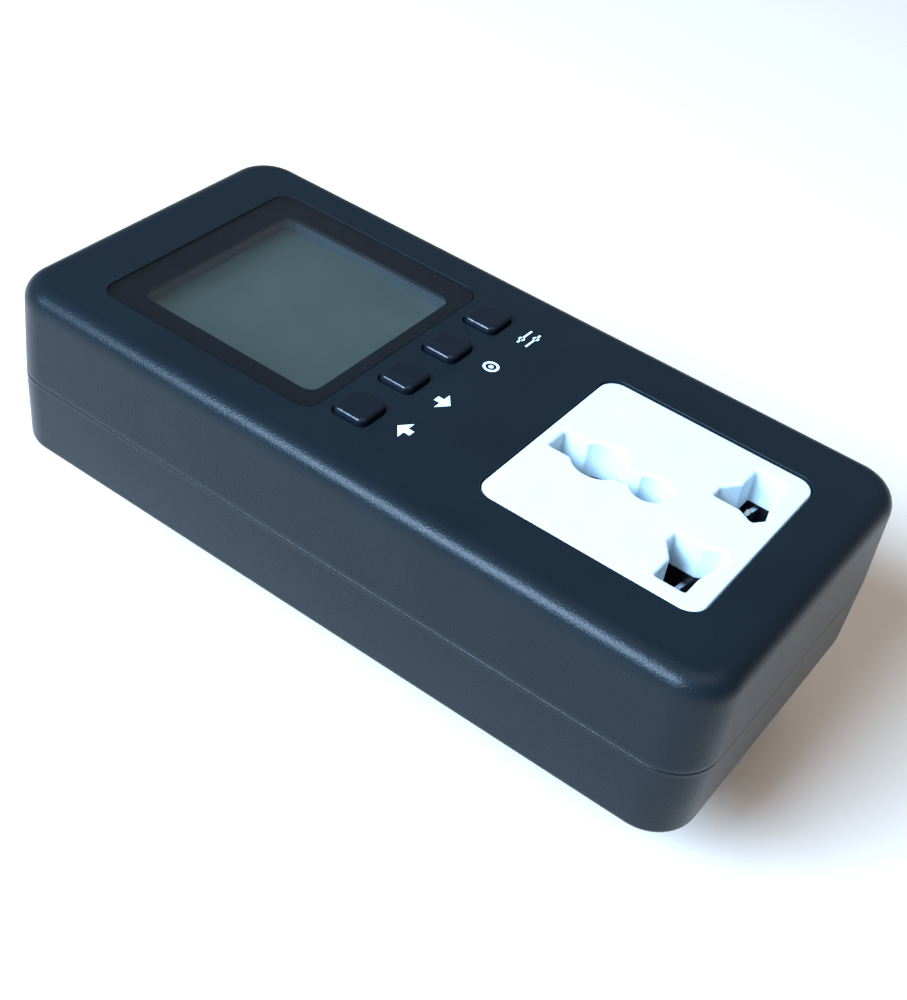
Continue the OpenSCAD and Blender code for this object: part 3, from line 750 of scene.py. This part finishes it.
# %% Model the keys
def model_key(name):
    low, high = key_boxes[name]
    centre = middle(low, high)
    top_r = 0.55 * MM
    taper = 0.05 * MM
    dish = 0.06 * MM
    flange_top = inside_z - 0.15 * MM

    def ring(inset, z):
        side = key_size - 2 * inset
        return rounded_ring(side, side, max(key_r - inset, 0.25 * MM), z, centre)

    bm = bmesh.new()
    chain = [ring(-key_flange, low.z), ring(-key_flange, flange_top), ring(0, flange_top)]
    chain.append(ring(0.04 * MM, high.z - top_r - 0.3 * MM))
    chain += rounded_edge(lambda step, z: ring(taper + step, z), top_r, low.z, high.z, 7)
    # The dish falls by a few hundredths of a millimetre towards the middle
    for share in (0.8, 0.6, 0.4, 0.2):
        inset = taper + top_r + (key_size / 2 - top_r) * (1 - share) * 0.9
        chain.append(ring(inset, high.z - dish * (1 - share**2)))
    solid_chain(bm, chain)
    key = finished(bm, "key_" + name + "_cap", key_abs, 50)
    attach(key, name + "_key")
    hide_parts("key_" + name)


for name in key_names:
    model_key(name)

# %% [markdown]
# ## The socket insert
#
# The insert is moulded in white nylon and takes many kinds of plug, so its apertures are odd
# shapes: each power aperture is a slot, a slanted slot and a round hole run together, and the
# earth aperture is two round holes and a slot. Their edges are rounded, which leads a pin in
# and gives the soft blue-white shading. Under the face a skirt round each one reaches down to
# the contacts. Each outline is drawn once from its corners, its corners are rounded, and then
# it is grown ring by ring to make the rounded rim. Light goes a little way into white nylon
# and comes back, which subsurface scattering gives.


# %% White moulded nylon
def moulded(name, dark, light, roughness, grain_mm, bump, ior=1.5, cloud_mm=5, **surface):
    """A moulded plastic: slow clouds in its colour, and a fine grain in its gloss and relief."""
    material, tree, shader, place = new_material(name, IOR=ior, **surface)
    slow = {"Vector": place, "Scale": per_mm(cloud_mm), "Detail": 2.0}
    drift_colour(tree, shader, add(tree, "ShaderNodeTexNoise", slow), dark, light)
    fine = {"Vector": place, "Scale": per_mm(grain_mm), "Detail": 2.0}
    grain = add(tree, "ShaderNodeTexNoise", fine)
    drift_gloss(tree, shader, grain, roughness, 0.06)
    emboss(tree, shader, grain, 0.01, bump)
    return material


scatter = {
    "Subsurface_Weight": 0.7,
    "Subsurface_Scale": 1.2 * MM,
    "Subsurface_Radius": (1.0, 0.9, 0.8),
}
socket_white = moulded("socket_white", "#bccad0", "#c6d4d9", 0.38, 0.35, 0.15, cloud_mm=6, **scatter)

# %% Model the insert
power_drop = 11.6 * MM
power_line = Vector((insert_mid.x, insert_mid.y - power_drop))


def power_outline(side):
    """A power aperture's outline, anticlockwise; side is 1 for the right one, -1 for the left."""
    corners = [(5.25, 0.2), (4, -2.2), (5.7, -3.5), (8.3, -2.8), (11.2, -2.3)]
    corners += [(14.5, -2.3), (14.5, 2.4), (10.3, 2.4), (7.5, 4.4), (5.25, 4.4)]
    points = [power_line + Vector((side * x, y)) * MM for x, y in corners]
    return softened(points if side > 0 else points[::-1], 0.5 * MM)


def earth_outline():
    """The earth aperture's outline, anticlockwise, from its slot, neck and two circles."""
    slot, neck, wide_r, narrow_r = 2.2, 1.4, 3.9, 2.75
    wide_y, narrow_y, top_y = 19.8, 11.5, 26.8
    wide_from, wide_to = -math.acos(neck / wide_r), math.acos(slot / wide_r)
    narrow_to = math.acos(neck / narrow_r)
    right = []
    for r, y, start, end, steps in (
        (narrow_r, narrow_y, -math.pi / 2, narrow_to, 12),
        (wide_r, wide_y, wide_from, wide_to, 16),
    ):
        for i in range(steps + 1):
            angle = start + (end - start) * i / steps
            right.append((r * math.cos(angle), y + r * math.sin(angle)))
    right.append((slot, top_y))
    left = [(-x, y) for x, y in reversed(right[1:])]
    return softened([power_line + Vector(p) * MM for p in right + left], 0.5 * MM)


def aperture_chain(outline, top_z, low_z, rim_r, steps=6):
    """Rings of an aperture from just outside its rounded rim down to low_z."""
    rings = [grown(outline, rim_r + support, top_z)]
    for step in range(steps + 1):
        angle = math.radians(90 * step / steps)
        z = top_z - rim_r * (1 - math.cos(angle))
        rings.append(grown(outline, rim_r * (1 - math.sin(angle)), z))
    rings.append(grown(outline, 0, low_z))
    return rings


rim_r = 0.5 * MM
insert_bm = bmesh.new()
insert_top = insert_high.z
insert_under = insert_top - 3.4 * MM
lip_top = inside_z - 0.05 * MM
insert_edge_r = 0.35 * MM


def insert_ring(inset, z):
    width, length = (side - 2 * inset for side in insert_size)
    return rounded_ring(width, length, insert_r - inset, z, insert_mid)


insert_chain = [insert_ring(-insert_lip, z) for z in (insert_under, lip_top)]
insert_chain.append(insert_ring(0, lip_top))
insert_chain += rounded_edge(insert_ring, insert_edge_r, insert_under, insert_top)
insert_chain.append(insert_ring(insert_edge_r + support, insert_top))
wall_chain(insert_bm, insert_chain)
power_skirt = (12.5 * MM, 9.9 * MM)
earth_skirt = (9.8 * MM, 20.05 * MM)
skirt_r = 0.8 * MM
power_low_z = 23.2 * MM
apertures = [
    # outline, lowest height, size of the skirt, and its middle from the power pins' line
    (power_outline(1), power_low_z, power_skirt, (9.25 * MM, 0.45 * MM)),
    (power_outline(-1), power_low_z, power_skirt, (-9.25 * MM, 0.45 * MM)),
    (earth_outline(), insert_low.z, earth_skirt, (0, 17.775 * MM)),
]
face_loops, under_loops = [], []
for outline, low_z, skirt_size, (x, y) in apertures:
    chain = aperture_chain(outline, insert_top, low_z, rim_r)
    centre = (insert_mid.x + x, power_line.y + y)
    skirt = [rounded_ring(*skirt_size, skirt_r, z, centre) for z in (insert_under, low_z)]
    wall_chain(insert_bm, chain)
    wall_chain(insert_bm, skirt)
    cap(insert_bm, skirt[-1], [chain[-1]])
    face_loops.append(chain[0])
    under_loops.append(skirt[0])
cap(insert_bm, insert_chain[-1], face_loops)
cap(insert_bm, insert_chain[0], under_loops)
socket_face = finished(insert_bm, "socket_face", socket_white)
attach(socket_face, "housing")
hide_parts("socket_insert")

# %% [markdown]
# ## The plug pins
#
# Each pin is turned from brass bar on a lathe, so its shape is one profile spun round its axis.
# A rounded nose leads it into the wall socket, a collar fills the hole in the rear shell, and a
# flange behind the wall takes the push and pull. The cutting tool leaves very fine rings, and
# those make the highlight on a turned pin break into a soft line. Brass is a metal, so its
# colour is in its reflection.


# %% Turned brass and other metals
def worked_metal(name, dark, light, roughness, mark_mm, along, bump):
    """A metal with fine tool marks; along stretches the marks on x, y and z."""
    material, tree, shader, place = new_material(name, Metallic=1.0)
    stain = add(tree, "ShaderNodeTexNoise", {"Vector": place, "Scale": per_mm(4), "Detail": 3.0})
    drift_colour(tree, shader, stain, dark, light)
    stretched = add(tree, "ShaderNodeMapping", {"Vector": place, "Scale": along})
    tooled = {"Vector": stretched, "Scale": per_mm(mark_mm), "Detail": 3.0}
    marks = add(tree, "ShaderNodeTexNoise", tooled)
    drift_gloss(tree, shader, marks, roughness, 0.08)
    emboss(tree, shader, marks, 0.01, bump)
    return material


metals = [
    # name, two colours, roughness, width of a mark in mm, stretch of the marks, relief
    ("pin_brass", "#cda45c", "#dcb871", 0.24, 0.12, (0.05, 0.05, 1), 0.3),
    ("contact_nickel", "#c3c8cc", "#dfe3e6", 0.24, 0.3, (1, 1, 0.1), 0.2),
    ("screw_steel", "#9ea2a6", "#b7bbbf", 0.3, 0.2, (1, 1, 1), 0.4),
    ("can_steel", "#b9bdc2", "#cfd2d6", 0.22, 0.25, (1, 0.1, 1), 0.2),
    ("link_brass", "#c9a54a", "#d9bb68", 0.3, 0.2, (1, 1, 0.1), 0.2),
    ("shunt_manganin", "#a8693c", "#bd7f4e", 0.32, 0.2, (0.1, 1, 1), 0.3),
]
finishes = {name: worked_metal(name, *look_of) for name, *look_of in metals}
pin_brass, contact_nickel = finishes["pin_brass"], finishes["contact_nickel"]
screw_steel = finishes["screw_steel"]
print("metals:", ", ".join(finishes))


# %% Turn the pins
def model_pin(name):
    """Spins one profile of (radius, height) round the pin's upright axis."""
    low, high = pin_boxes[name]
    r, flange_r, tail_r = shaft_r[name], (high.x - low.x) / 2, 1.6 * MM
    nose, flange_z = 1 * MM, wall + 1.6 * MM
    profile = [
        (r - nose * (1 - math.sin(a)), low.z + nose * (1 - math.cos(a)))
        for a in (0, 0.35, 0.7, 1.05, 1.35)
    ]
    profile += [(r, low.z + nose), (r, 0), (r + collar_step, 0), (r + collar_step, wall)]
    profile += [(flange_r, wall), (flange_r, flange_z), (tail_r, flange_z)]
    profile += [(tail_r, high.z - 0.2 * MM), (tail_r - 0.2 * MM, high.z)]
    bm = bmesh.new()
    rings = [circle_ring(r, z, middle(low, high), 48) for r, z in profile]
    solid_chain(bm, rings)
    pin = finished(bm, name + "_pin_turned", pin_brass)
    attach(pin, "housing")
    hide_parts(name + "_pin")


for name in pin_boxes:
    model_pin(name)

# %% [markdown]
# ## Geometry Nodes that make what repeats
#
# Screws and spring leaves follow a rule, so each is made by a small node tree. The tree has
# named inputs for its sizes, so the same tree makes screws of any length. Running the tree and
# copying its result gives a plain mesh, which any other program can read. A socket of a
# modifier is set by its identifier, because a name may change.


# %% Helpers for node trees
def new_tree(name, inputs):
    """A Geometry Nodes tree with named inputs, each given as name: (kind, default)."""
    tree = bpy.data.node_groups.new(name, "GeometryNodeTree")
    tree.interface.new_socket("Geometry", in_out="INPUT", socket_type="NodeSocketGeometry")
    tree.interface.new_socket("Geometry", in_out="OUTPUT", socket_type="NodeSocketGeometry")
    for label, (kind, value) in inputs.items():
        item = tree.interface.new_socket(label, in_out="INPUT", socket_type="NodeSocket" + kind)
        if value is not None:
            item.default_value = value
    start = tree.nodes.new("NodeGroupInput").outputs
    return tree, start


def close_tree(tree, start, geometry):
    """Realizes the instances, sets the material and ends the tree."""
    real = add(tree, "GeometryNodeRealizeInstances", {"Geometry": geometry})
    material = {"Geometry": real, "Material": start["Material"]}
    add(tree, "NodeGroupOutput", {"Geometry": add(tree, "GeometryNodeSetMaterial", material)})


def run_tree(name, tree, points, values, smooth_degrees=35):
    """Runs a tree on a mesh of loose points and returns its result as a plain mesh object."""
    seed_mesh = bpy.data.meshes.new(name)
    seed_mesh.from_pydata(points, [], [])
    carrier = hang(name, seed_mesh)
    modifier = carrier.modifiers.new("tree", "NODES")
    modifier.node_group = tree
    for item in tree.interface.items_tree:
        if item.in_out == "INPUT" and item.name in values:
            modifier[item.identifier] = values[item.name]
    bpy.context.view_layer.update()
    graph = bpy.context.evaluated_depsgraph_get()
    made = bpy.data.meshes.new_from_object(carrier.evaluated_get(graph), depsgraph=graph)
    carrier.modifiers.clear()
    carrier.data = made
    bm = bmesh.new()
    bm.from_mesh(made)
    bmesh.ops.recalc_face_normals(bm, faces=bm.faces)
    bm.to_mesh(made)
    bm.free()
    made.shade_smooth()
    made.set_sharp_from_angle(angle=math.radians(smooth_degrees))
    print(f"{name}: {len(points)} points, {len(made.polygons)} faces")
    return carrier


def combine(tree, x=0.0, y=0.0, z=0.0):
    """A vector from three values or outputs."""
    return add(tree, "ShaderNodeCombineXYZ", {"X": x, "Y": y, "Z": z})


def joined(tree, *parts):
    """Several geometries as one."""
    whole = add(tree, "GeometryNodeJoinGeometry")
    for part in parts:
        tree.links.new(part, whole.inputs["Geometry"])
    return whole


# %% [markdown]
# ## Screws
#
# The screws are zinc-plated steel with pan heads and a cross recess, cold-headed and then
# thread-rolled. Only the four in the case wells are seen, at the bottom of their wells, but all
# of them are the same kind. The head is a small solid of its own with a real recess. The tree
# adds the thread, a thin triangle swept along a helix, and puts one screw on each point.


# %% A screw head with its recess and core
def screw_master(head_r, head_h, core_r, length):
    arm, half = 0.62 * head_r, 0.13 * head_r
    cross = []
    for turn in range(4):
        spin = Matrix.Rotation(math.radians(90 * turn), 2)
        cross += [spin @ Vector(p) for p in ((half, -half), (arm, -half), (arm, half))]
    bm = bmesh.new()
    recess = [grown(cross, step, z) for step, z in ((0, -head_h), (-0.06 * head_r, -0.45 * head_h))]
    wall_chain(bm, recess)
    cap(bm, recess[-1])
    profile = [(0.74, 1.0), (0.86, 0.93), (0.95, 0.78), (1.0, 0.5), (1.0, 0.08), (0.96, 0.0)]
    rings = [circle_ring(r * head_r, -h * head_h) for r, h in profile]
    rings += [circle_ring(core_r, z) for z in (0, length - core_r)]
    rings.append(circle_ring(0.25 * core_r, length))
    wall_chain(bm, rings)
    cap(bm, rings[0], [recess[0]])
    cap(bm, rings[-1])
    return finished(bm, "screw_master", screw_steel)


# %% The screw tree
screw_tree, start = new_tree(
    "screws",
    {
        "Master": ("Object", None),
        "Core radius": ("Float", 1.0 * MM),
        "Threaded length": ("Float", 8.0 * MM),
        "Pitch": ("Float", 0.9 * MM),
        "Thread depth": ("Float", 0.25 * MM),
        "Turned over": ("Float", 0.0),
        "Material": ("Material", None),
    },
)
turned = {0: start["Threaded length"], 1: start["Pitch"]}
helix = {
    "Resolution": 18,
    "Rotations": add(screw_tree, "ShaderNodeMath", turned, operation="DIVIDE"),
    "Start Radius": start["Core radius"],
    "End Radius": start["Core radius"],
    "Height": start["Threaded length"],
}
helix = add(screw_tree, "GeometryNodeCurveSpiral", helix)
flank = {"Resolution": 3, "Radius": start["Thread depth"]}
flank = add(screw_tree, "GeometryNodeCurvePrimitiveCircle", flank)
thread = {"Curve": helix, "Profile Curve": flank, "Fill Caps": True}
thread = add(screw_tree, "GeometryNodeCurveToMesh", thread)
raised = {"Geometry": thread, "Translation": combine(screw_tree, z=start["Pitch"])}
raised = add(screw_tree, "GeometryNodeTransform", raised)
master = add(screw_tree, "GeometryNodeObjectInfo", {"Object": start["Master"]})
whole = joined(screw_tree, raised.outputs["Geometry"], master.outputs["Geometry"])
turn = combine(screw_tree, x=start["Turned over"])
placed = {"Points": start["Geometry"], "Instance": whole, "Rotation": turn}
close_tree(screw_tree, start, add(screw_tree, "GeometryNodeInstanceOnPoints", placed))


# %% Put the screws in their places
def model_screws(node, head_r, head_h, shank_r, places, head_down=True):
    """One mesh of all the screws of a CAD node, each with its head against its seat."""
    low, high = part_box(node)
    length = high.z - low.z - head_h
    seat_z = low.z + head_h if head_down else high.z - head_h
    core_r = shank_r - thread_depth
    master = screw_master(head_r, head_h, core_r, length)
    values = {
        "Master": master,
        "Core radius": core_r,
        "Threaded length": length - 2.2 * MM,
        "Thread depth": thread_depth,
        "Turned over": 0.0 if head_down else math.pi,
        "Material": screw_steel,
    }
    points = [(x, y, seat_z) for x, y in places]
    screws = run_tree(node + "_threaded", screw_tree, points, values)
    bpy.data.objects.remove(master)
    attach(screws, "housing")
    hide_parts(node)


thread_depth = 0.25 * MM
post_places = [(side * post_x, post_y) for side in (-1, 1)]
retainer_places = [(side * retainer_x, retainer_y) for side in (-1, 1)]
model_screws("case_screws", 2.6 * MM, 2 * MM, 1.3 * MM, case_screw_places)
model_screws("main_board_screws", 1.8 * MM, 1.2 * MM, 0.85 * MM, board_screw_places)
model_screws("socket_screws", 2.4 * MM, 1.8 * MM, 1.1 * MM, socket_screw_places)
model_screws("power_board_screws", 2 * MM, 1.3 * MM, 0.85 * MM, post_places, head_down=False)
model_screws("retainer_screws", 2 * MM, 1.2 * MM, 0.85 * MM, retainer_places, head_down=False)

# %% [markdown]
# ## Spring contacts
#
# Behind each aperture waits a pair of spring leaves, stamped from nickel-plated bronze strip
# and bent. A leaf rises from its foot, bows in to the grip, and flares out at the mouth to lead
# the pin in. That bow is a rule, so a tree makes it: points on an upright line are pushed
# sideways by a square curve on each side of the grip, and a flat strip is swept along them.

# %% The leaf tree
leaf_tree, start = new_tree(
    "spring_leaf",
    {
        "Height": ("Float", 15.0 * MM),
        "Grip share": ("Float", 0.74),
        "Grip offset": ("Float", 2.1 * MM),
        "Foot offset": ("Float", 0.9 * MM),
        "Mouth offset": ("Float", 0.9 * MM),
        "Strip width": ("Float", 6.0 * MM),
        "Strip thickness": ("Float", 0.7 * MM),
        "Material": ("Material", None),
    },
)


def sums(operation, a, b=0.0):
    """One sum of the leaf tree."""
    return add(leaf_tree, "ShaderNodeMath", {0: a, 1: b}, operation=operation)


def square(value):
    return sums("POWER", value, 2.0)


# A line of points, and how far up it each point is, as a share of the height
leaf_steps = 40
step_up = combine(leaf_tree, z=sums("DIVIDE", start["Height"], leaf_steps))
upright = add(leaf_tree, "GeometryNodeMeshLine", {"Count": leaf_steps + 1, "Offset": step_up})
spot = add(leaf_tree, "GeometryNodeInputPosition")
height = add(leaf_tree, "ShaderNodeSeparateXYZ", {"Vector": spot}).outputs["Z"]
share = sums("DIVIDE", height, start["Height"])

# The bow below the grip and above it, half the strip's thickness off the grip's face
grip = start["Grip share"]
below = square(sums("DIVIDE", sums("MAXIMUM", sums("SUBTRACT", grip, share)), grip))
room = sums("SUBTRACT", 1.0, grip)
above = square(sums("DIVIDE", sums("MAXIMUM", sums("SUBTRACT", share, grip)), room))
bow = sums("ADD", sums("MULTIPLY", below, start["Foot offset"]), start["Grip offset"])
bow = sums("ADD", bow, sums("MULTIPLY", above, start["Mouth offset"]))
bow = sums("ADD", bow, sums("MULTIPLY", start["Strip thickness"], 0.5))
bowed = {"Geometry": upright, "Offset": combine(leaf_tree, x=bow)}
bowed = add(leaf_tree, "GeometryNodeSetPosition", bowed)
spine = add(leaf_tree, "GeometryNodeMeshToCurve", {"Mesh": bowed})

# The last tenth of the strip narrows to a rounded tip
along = add(leaf_tree, "GeometryNodeSplineParameter")
into_top = {"Value": along, "From Min": 0.9, "From Max": 1.0, "To Min": 0.0, "To Max": 0.93}
into_top = add(leaf_tree, "ShaderNodeMapRange", into_top)
round_top = sums("SQRT", sums("SUBTRACT", 1.0, square(into_top)))
round_top = sums("ADD", 0.62, sums("MULTIPLY", 0.38, round_top))
narrowed = add(leaf_tree, "GeometryNodeSetCurveRadius", {"Curve": spine, "Radius": round_top})

# Two strips face each other across the grip
section = {"Width": start["Strip thickness"], "Height": start["Strip width"]}
section = add(leaf_tree, "GeometryNodeCurvePrimitiveQuadrilateral", section)
strip = {"Curve": narrowed, "Profile Curve": section, "Fill Caps": True}
strip = add(leaf_tree, "GeometryNodeCurveToMesh", strip)
facing = {"Geometry": strip, "Rotation": (0.0, 0.0, math.pi)}
facing = add(leaf_tree, "GeometryNodeTransform", facing)
pair = joined(leaf_tree, strip.outputs["Mesh"], facing.outputs["Geometry"])
placed = {"Points": start["Geometry"], "Instance": pair}
close_tree(leaf_tree, start, add(leaf_tree, "GeometryNodeInstanceOnPoints", placed))


# %% Fit the contacts
def model_contact(name, strip_width, top_z, tail_from):
    """Two leaves on a foot, and the tail that runs to the power board and up through its slot."""
    low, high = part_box(name)
    x_mid = (low.x + high.x) / 2
    y_mid = low.y + strip_width / 2
    foot_top = low.z + strip_t
    values = {
        "Height": top_z - low.z - strip_t,
        "Grip offset": grip_offset,
        "Foot offset": 0.9 * MM,
        "Mouth offset": 0.6 * MM,
        "Strip width": strip_width,
        "Strip thickness": strip_t,
        "Material": contact_nickel,
    }
    leaves = run_tree(name + "_leaves", leaf_tree, [(x_mid, y_mid, foot_top)], values, 50)
    tail_mid = (x_mid, (tail_from + high.y) / 2)
    riser_mid = (x_mid, high.y - strip_t / 2)
    blocks = [
        # width, length, corner radius, middle and top of the foot, the tail and the riser
        (2 * grip_offset + 3.2 * MM, strip_width, 0.3 * MM, (x_mid, y_mid), foot_top),
        (tail_w, high.y - tail_from, 0.2 * MM, tail_mid, foot_top),
        (tail_w, strip_t, 0.1 * MM, riser_mid, tail_top),
    ]
    bm = bmesh.new()
    for width, length, radius, centre, block_top in blocks:
        block = [rounded_ring(width, length, radius, z, centre) for z in (low.z, block_top)]
        solid_chain(bm, block)
    base = finished(bm, name + "_base", contact_nickel)
    for piece in (leaves, base):
        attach(piece, "housing")
    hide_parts(name)


strip_t = 0.7 * MM
grip_offset = 2.1 * MM
tail_w = 3.4 * MM
tail_top = 10.8 * MM
model_contact("line_contact", 7.8 * MM, 23 * MM, power_line.y)
model_contact("neutral_contact", 7.8 * MM, 23 * MM, power_line.y)
model_contact("earth_contact", 17.6 * MM, 21.4 * MM, power_line.y + 25 * MM)

# %% [markdown]
# ## Marks under the keys
#
# Four marks are pad-printed in pale ink under the keys: an arrow up, an arrow down, a ring for
# the price and a slider for the settings. Pad printing lays a film of ink a few hundredths of a
# millimetre thick, so each mark is a thin raised shape rather than a colour on the shell. All
# four come from a few outlines given in millimetres round each mark's middle.


# %% Print the marks
pad_ink = printed_ink("pad_ink", "#c9eef4", "#dcf7fb", 0.45, 0.5)


def disc(x, y, radius, sides=28):
    angles = [math.tau * i / sides for i in range(sides)]
    return [(x + radius * math.cos(a), y + radius * math.sin(a)) for a in angles]


def bar(x0, x1, y0, y1):
    return [(x0, y0), (x1, y0), (x1, y1), (x0, y1)]


arrow = [(-1.9, -0.2), (-0.55, -0.2), (-0.55, -1.2), (0.55, -1.2), (0.55, -0.2), (1.9, -0.2)]
arrow.append((0, 1.3))
marks = {
    "up": [(arrow, [])],
    "down": [([(-x, -y) for x, y in arrow], [])],
    "price": [(disc(0, 0, 1.25), [disc(0, 0, 0.85)]), (disc(0, 0, 0.38), [])],
    "set": [
        (bar(-2, 2, 0.62, 0.92), []),
        (bar(-2, 2, -0.92, -0.62), []),
        (disc(-0.8, 0.77, 0.5), []),
        (disc(0.8, -0.77, 0.5), []),
    ],
}
mark_y = -18.6 * MM
mark_xs = {"up": -14.4, "down": -5.5, "price": 6.4, "set": 16.4}
film = 0.02 * MM
for name, shapes in marks.items():
    bm = bmesh.new()
    centre = Vector((mark_xs[name] * MM, mark_y))
    for shape, holes in shapes:
        loops = [[centre + Vector(point) * MM for point in loop] for loop in (shape, *holes)]
        layers = [
            [[Vector((p.x, p.y, z)) for p in loop] for loop in loops]
            for z in (face_z - film, face_z + film)
        ]
        for loop_pair in zip(*layers):
            wall_chain(bm, loop_pair)
        for layer in layers:
            cap(bm, layer[0], layer[1:])
    mark = finished(bm, name + "_mark", pad_ink)
    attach(mark, "housing")

# %% [markdown]
# ## Finishes of the pieces inside
#
# The pieces inside keep their CAD shapes. Each still gets the finish of the real one, since
# the model may be shown cut open: green solder mask with the weave of the glass cloth under
# it, moulded epoxy, printed sleeves, glazed ceramic and rubber. The contact carrier is the one
# exception: it is really white nylon, but it gets a near-black colour as painted shade, so that
# the socket's apertures look dark inside. The function that made the insert's nylon makes the
# moulded plastics too, because they differ only in colour, gloss and grain. A second one lays
# two colours in bands.


# %% Bands
def banded(name, first, second, radian_mm, direction, roughness):
    """Two colours in bands across a direction, such as a rubber strip's layers or a woven board."""
    material, tree, shader, place = new_material(name, IOR=1.5, Roughness=roughness)
    # The texture multiplies a place by 20 before its sine, so a radian of it is radian_mm long
    rate = per_mm(radian_mm) / 20
    waves = {"Vector": place, "Scale": rate, "Distortion": 0.4, "Detail": 1.0}
    bands = add(tree, "ShaderNodeTexWave", waves, bands_direction=direction)
    drift_colour(tree, shader, bands.outputs["Fac"], first, second)
    emboss(tree, shader, bands.outputs["Fac"], 0.02, 0.2)
    return material


# %% Finish the CAD pieces
finishes |= {"display_glass": display_film, "frame_abs": frame_abs}
plastics = [
    # name, two colours, roughness, grain in mm, relief, IOR
    # The contact carrier is really white nylon. Its near-black colour is painted shade, so that the
    # insert's apertures look dark inside.
    ("carrier_nylon", "#0c0d0f", "#121316", 0.5, 0.4, 0.3, 1.53),
    ("diffuser_acrylic", "#d5e0da", "#e2ebe6", 0.45, 0.4, 0.1, 1.49),
    ("plunger_nylon", "#b3aa92", "#c0b8a2", 0.45, 0.5, 0.2, 1.53),
    ("chip_epoxy", "#17181a", "#1f2022", 0.55, 0.2, 0.5, 1.55),
    ("film_box", "#c29a1f", "#d0a92f", 0.35, 0.6, 0.2, 1.49),
    ("varistor_epoxy", "#27569c", "#3264ae", 0.3, 1.2, 0.6, 1.55),
    ("fuse_ceramic", "#d2cbb9", "#e0dac9", 0.2, 0.8, 0.15, 1.6),
]
finishes |= {name: moulded(name, *look_of) for name, *look_of in plastics}
layered = [
    # name, two colours, radian of the bands in mm, direction, roughness
    ("board_laminate", "#1b6136", "#23713f", 0.5, "X", 0.3),
    ("capacitor_sleeve", "#26315a", "#2c3865", 2.0, "Y", 0.35),
    ("zebra_rubber", "#242427", "#77777c", 0.18, "X", 0.7),
]
finishes |= {name: banded(name, *look_of) for name, *look_of in layered}
plain = []
for name, node in nodes.items():
    own = node.data.materials[0].name.split(".")[0]
    if own in finishes:
        node.data.materials[0] = finishes[own]
    elif not node.hide_render:
        plain.append((name, own))
print("shown nodes that have no finish yet:", plain)
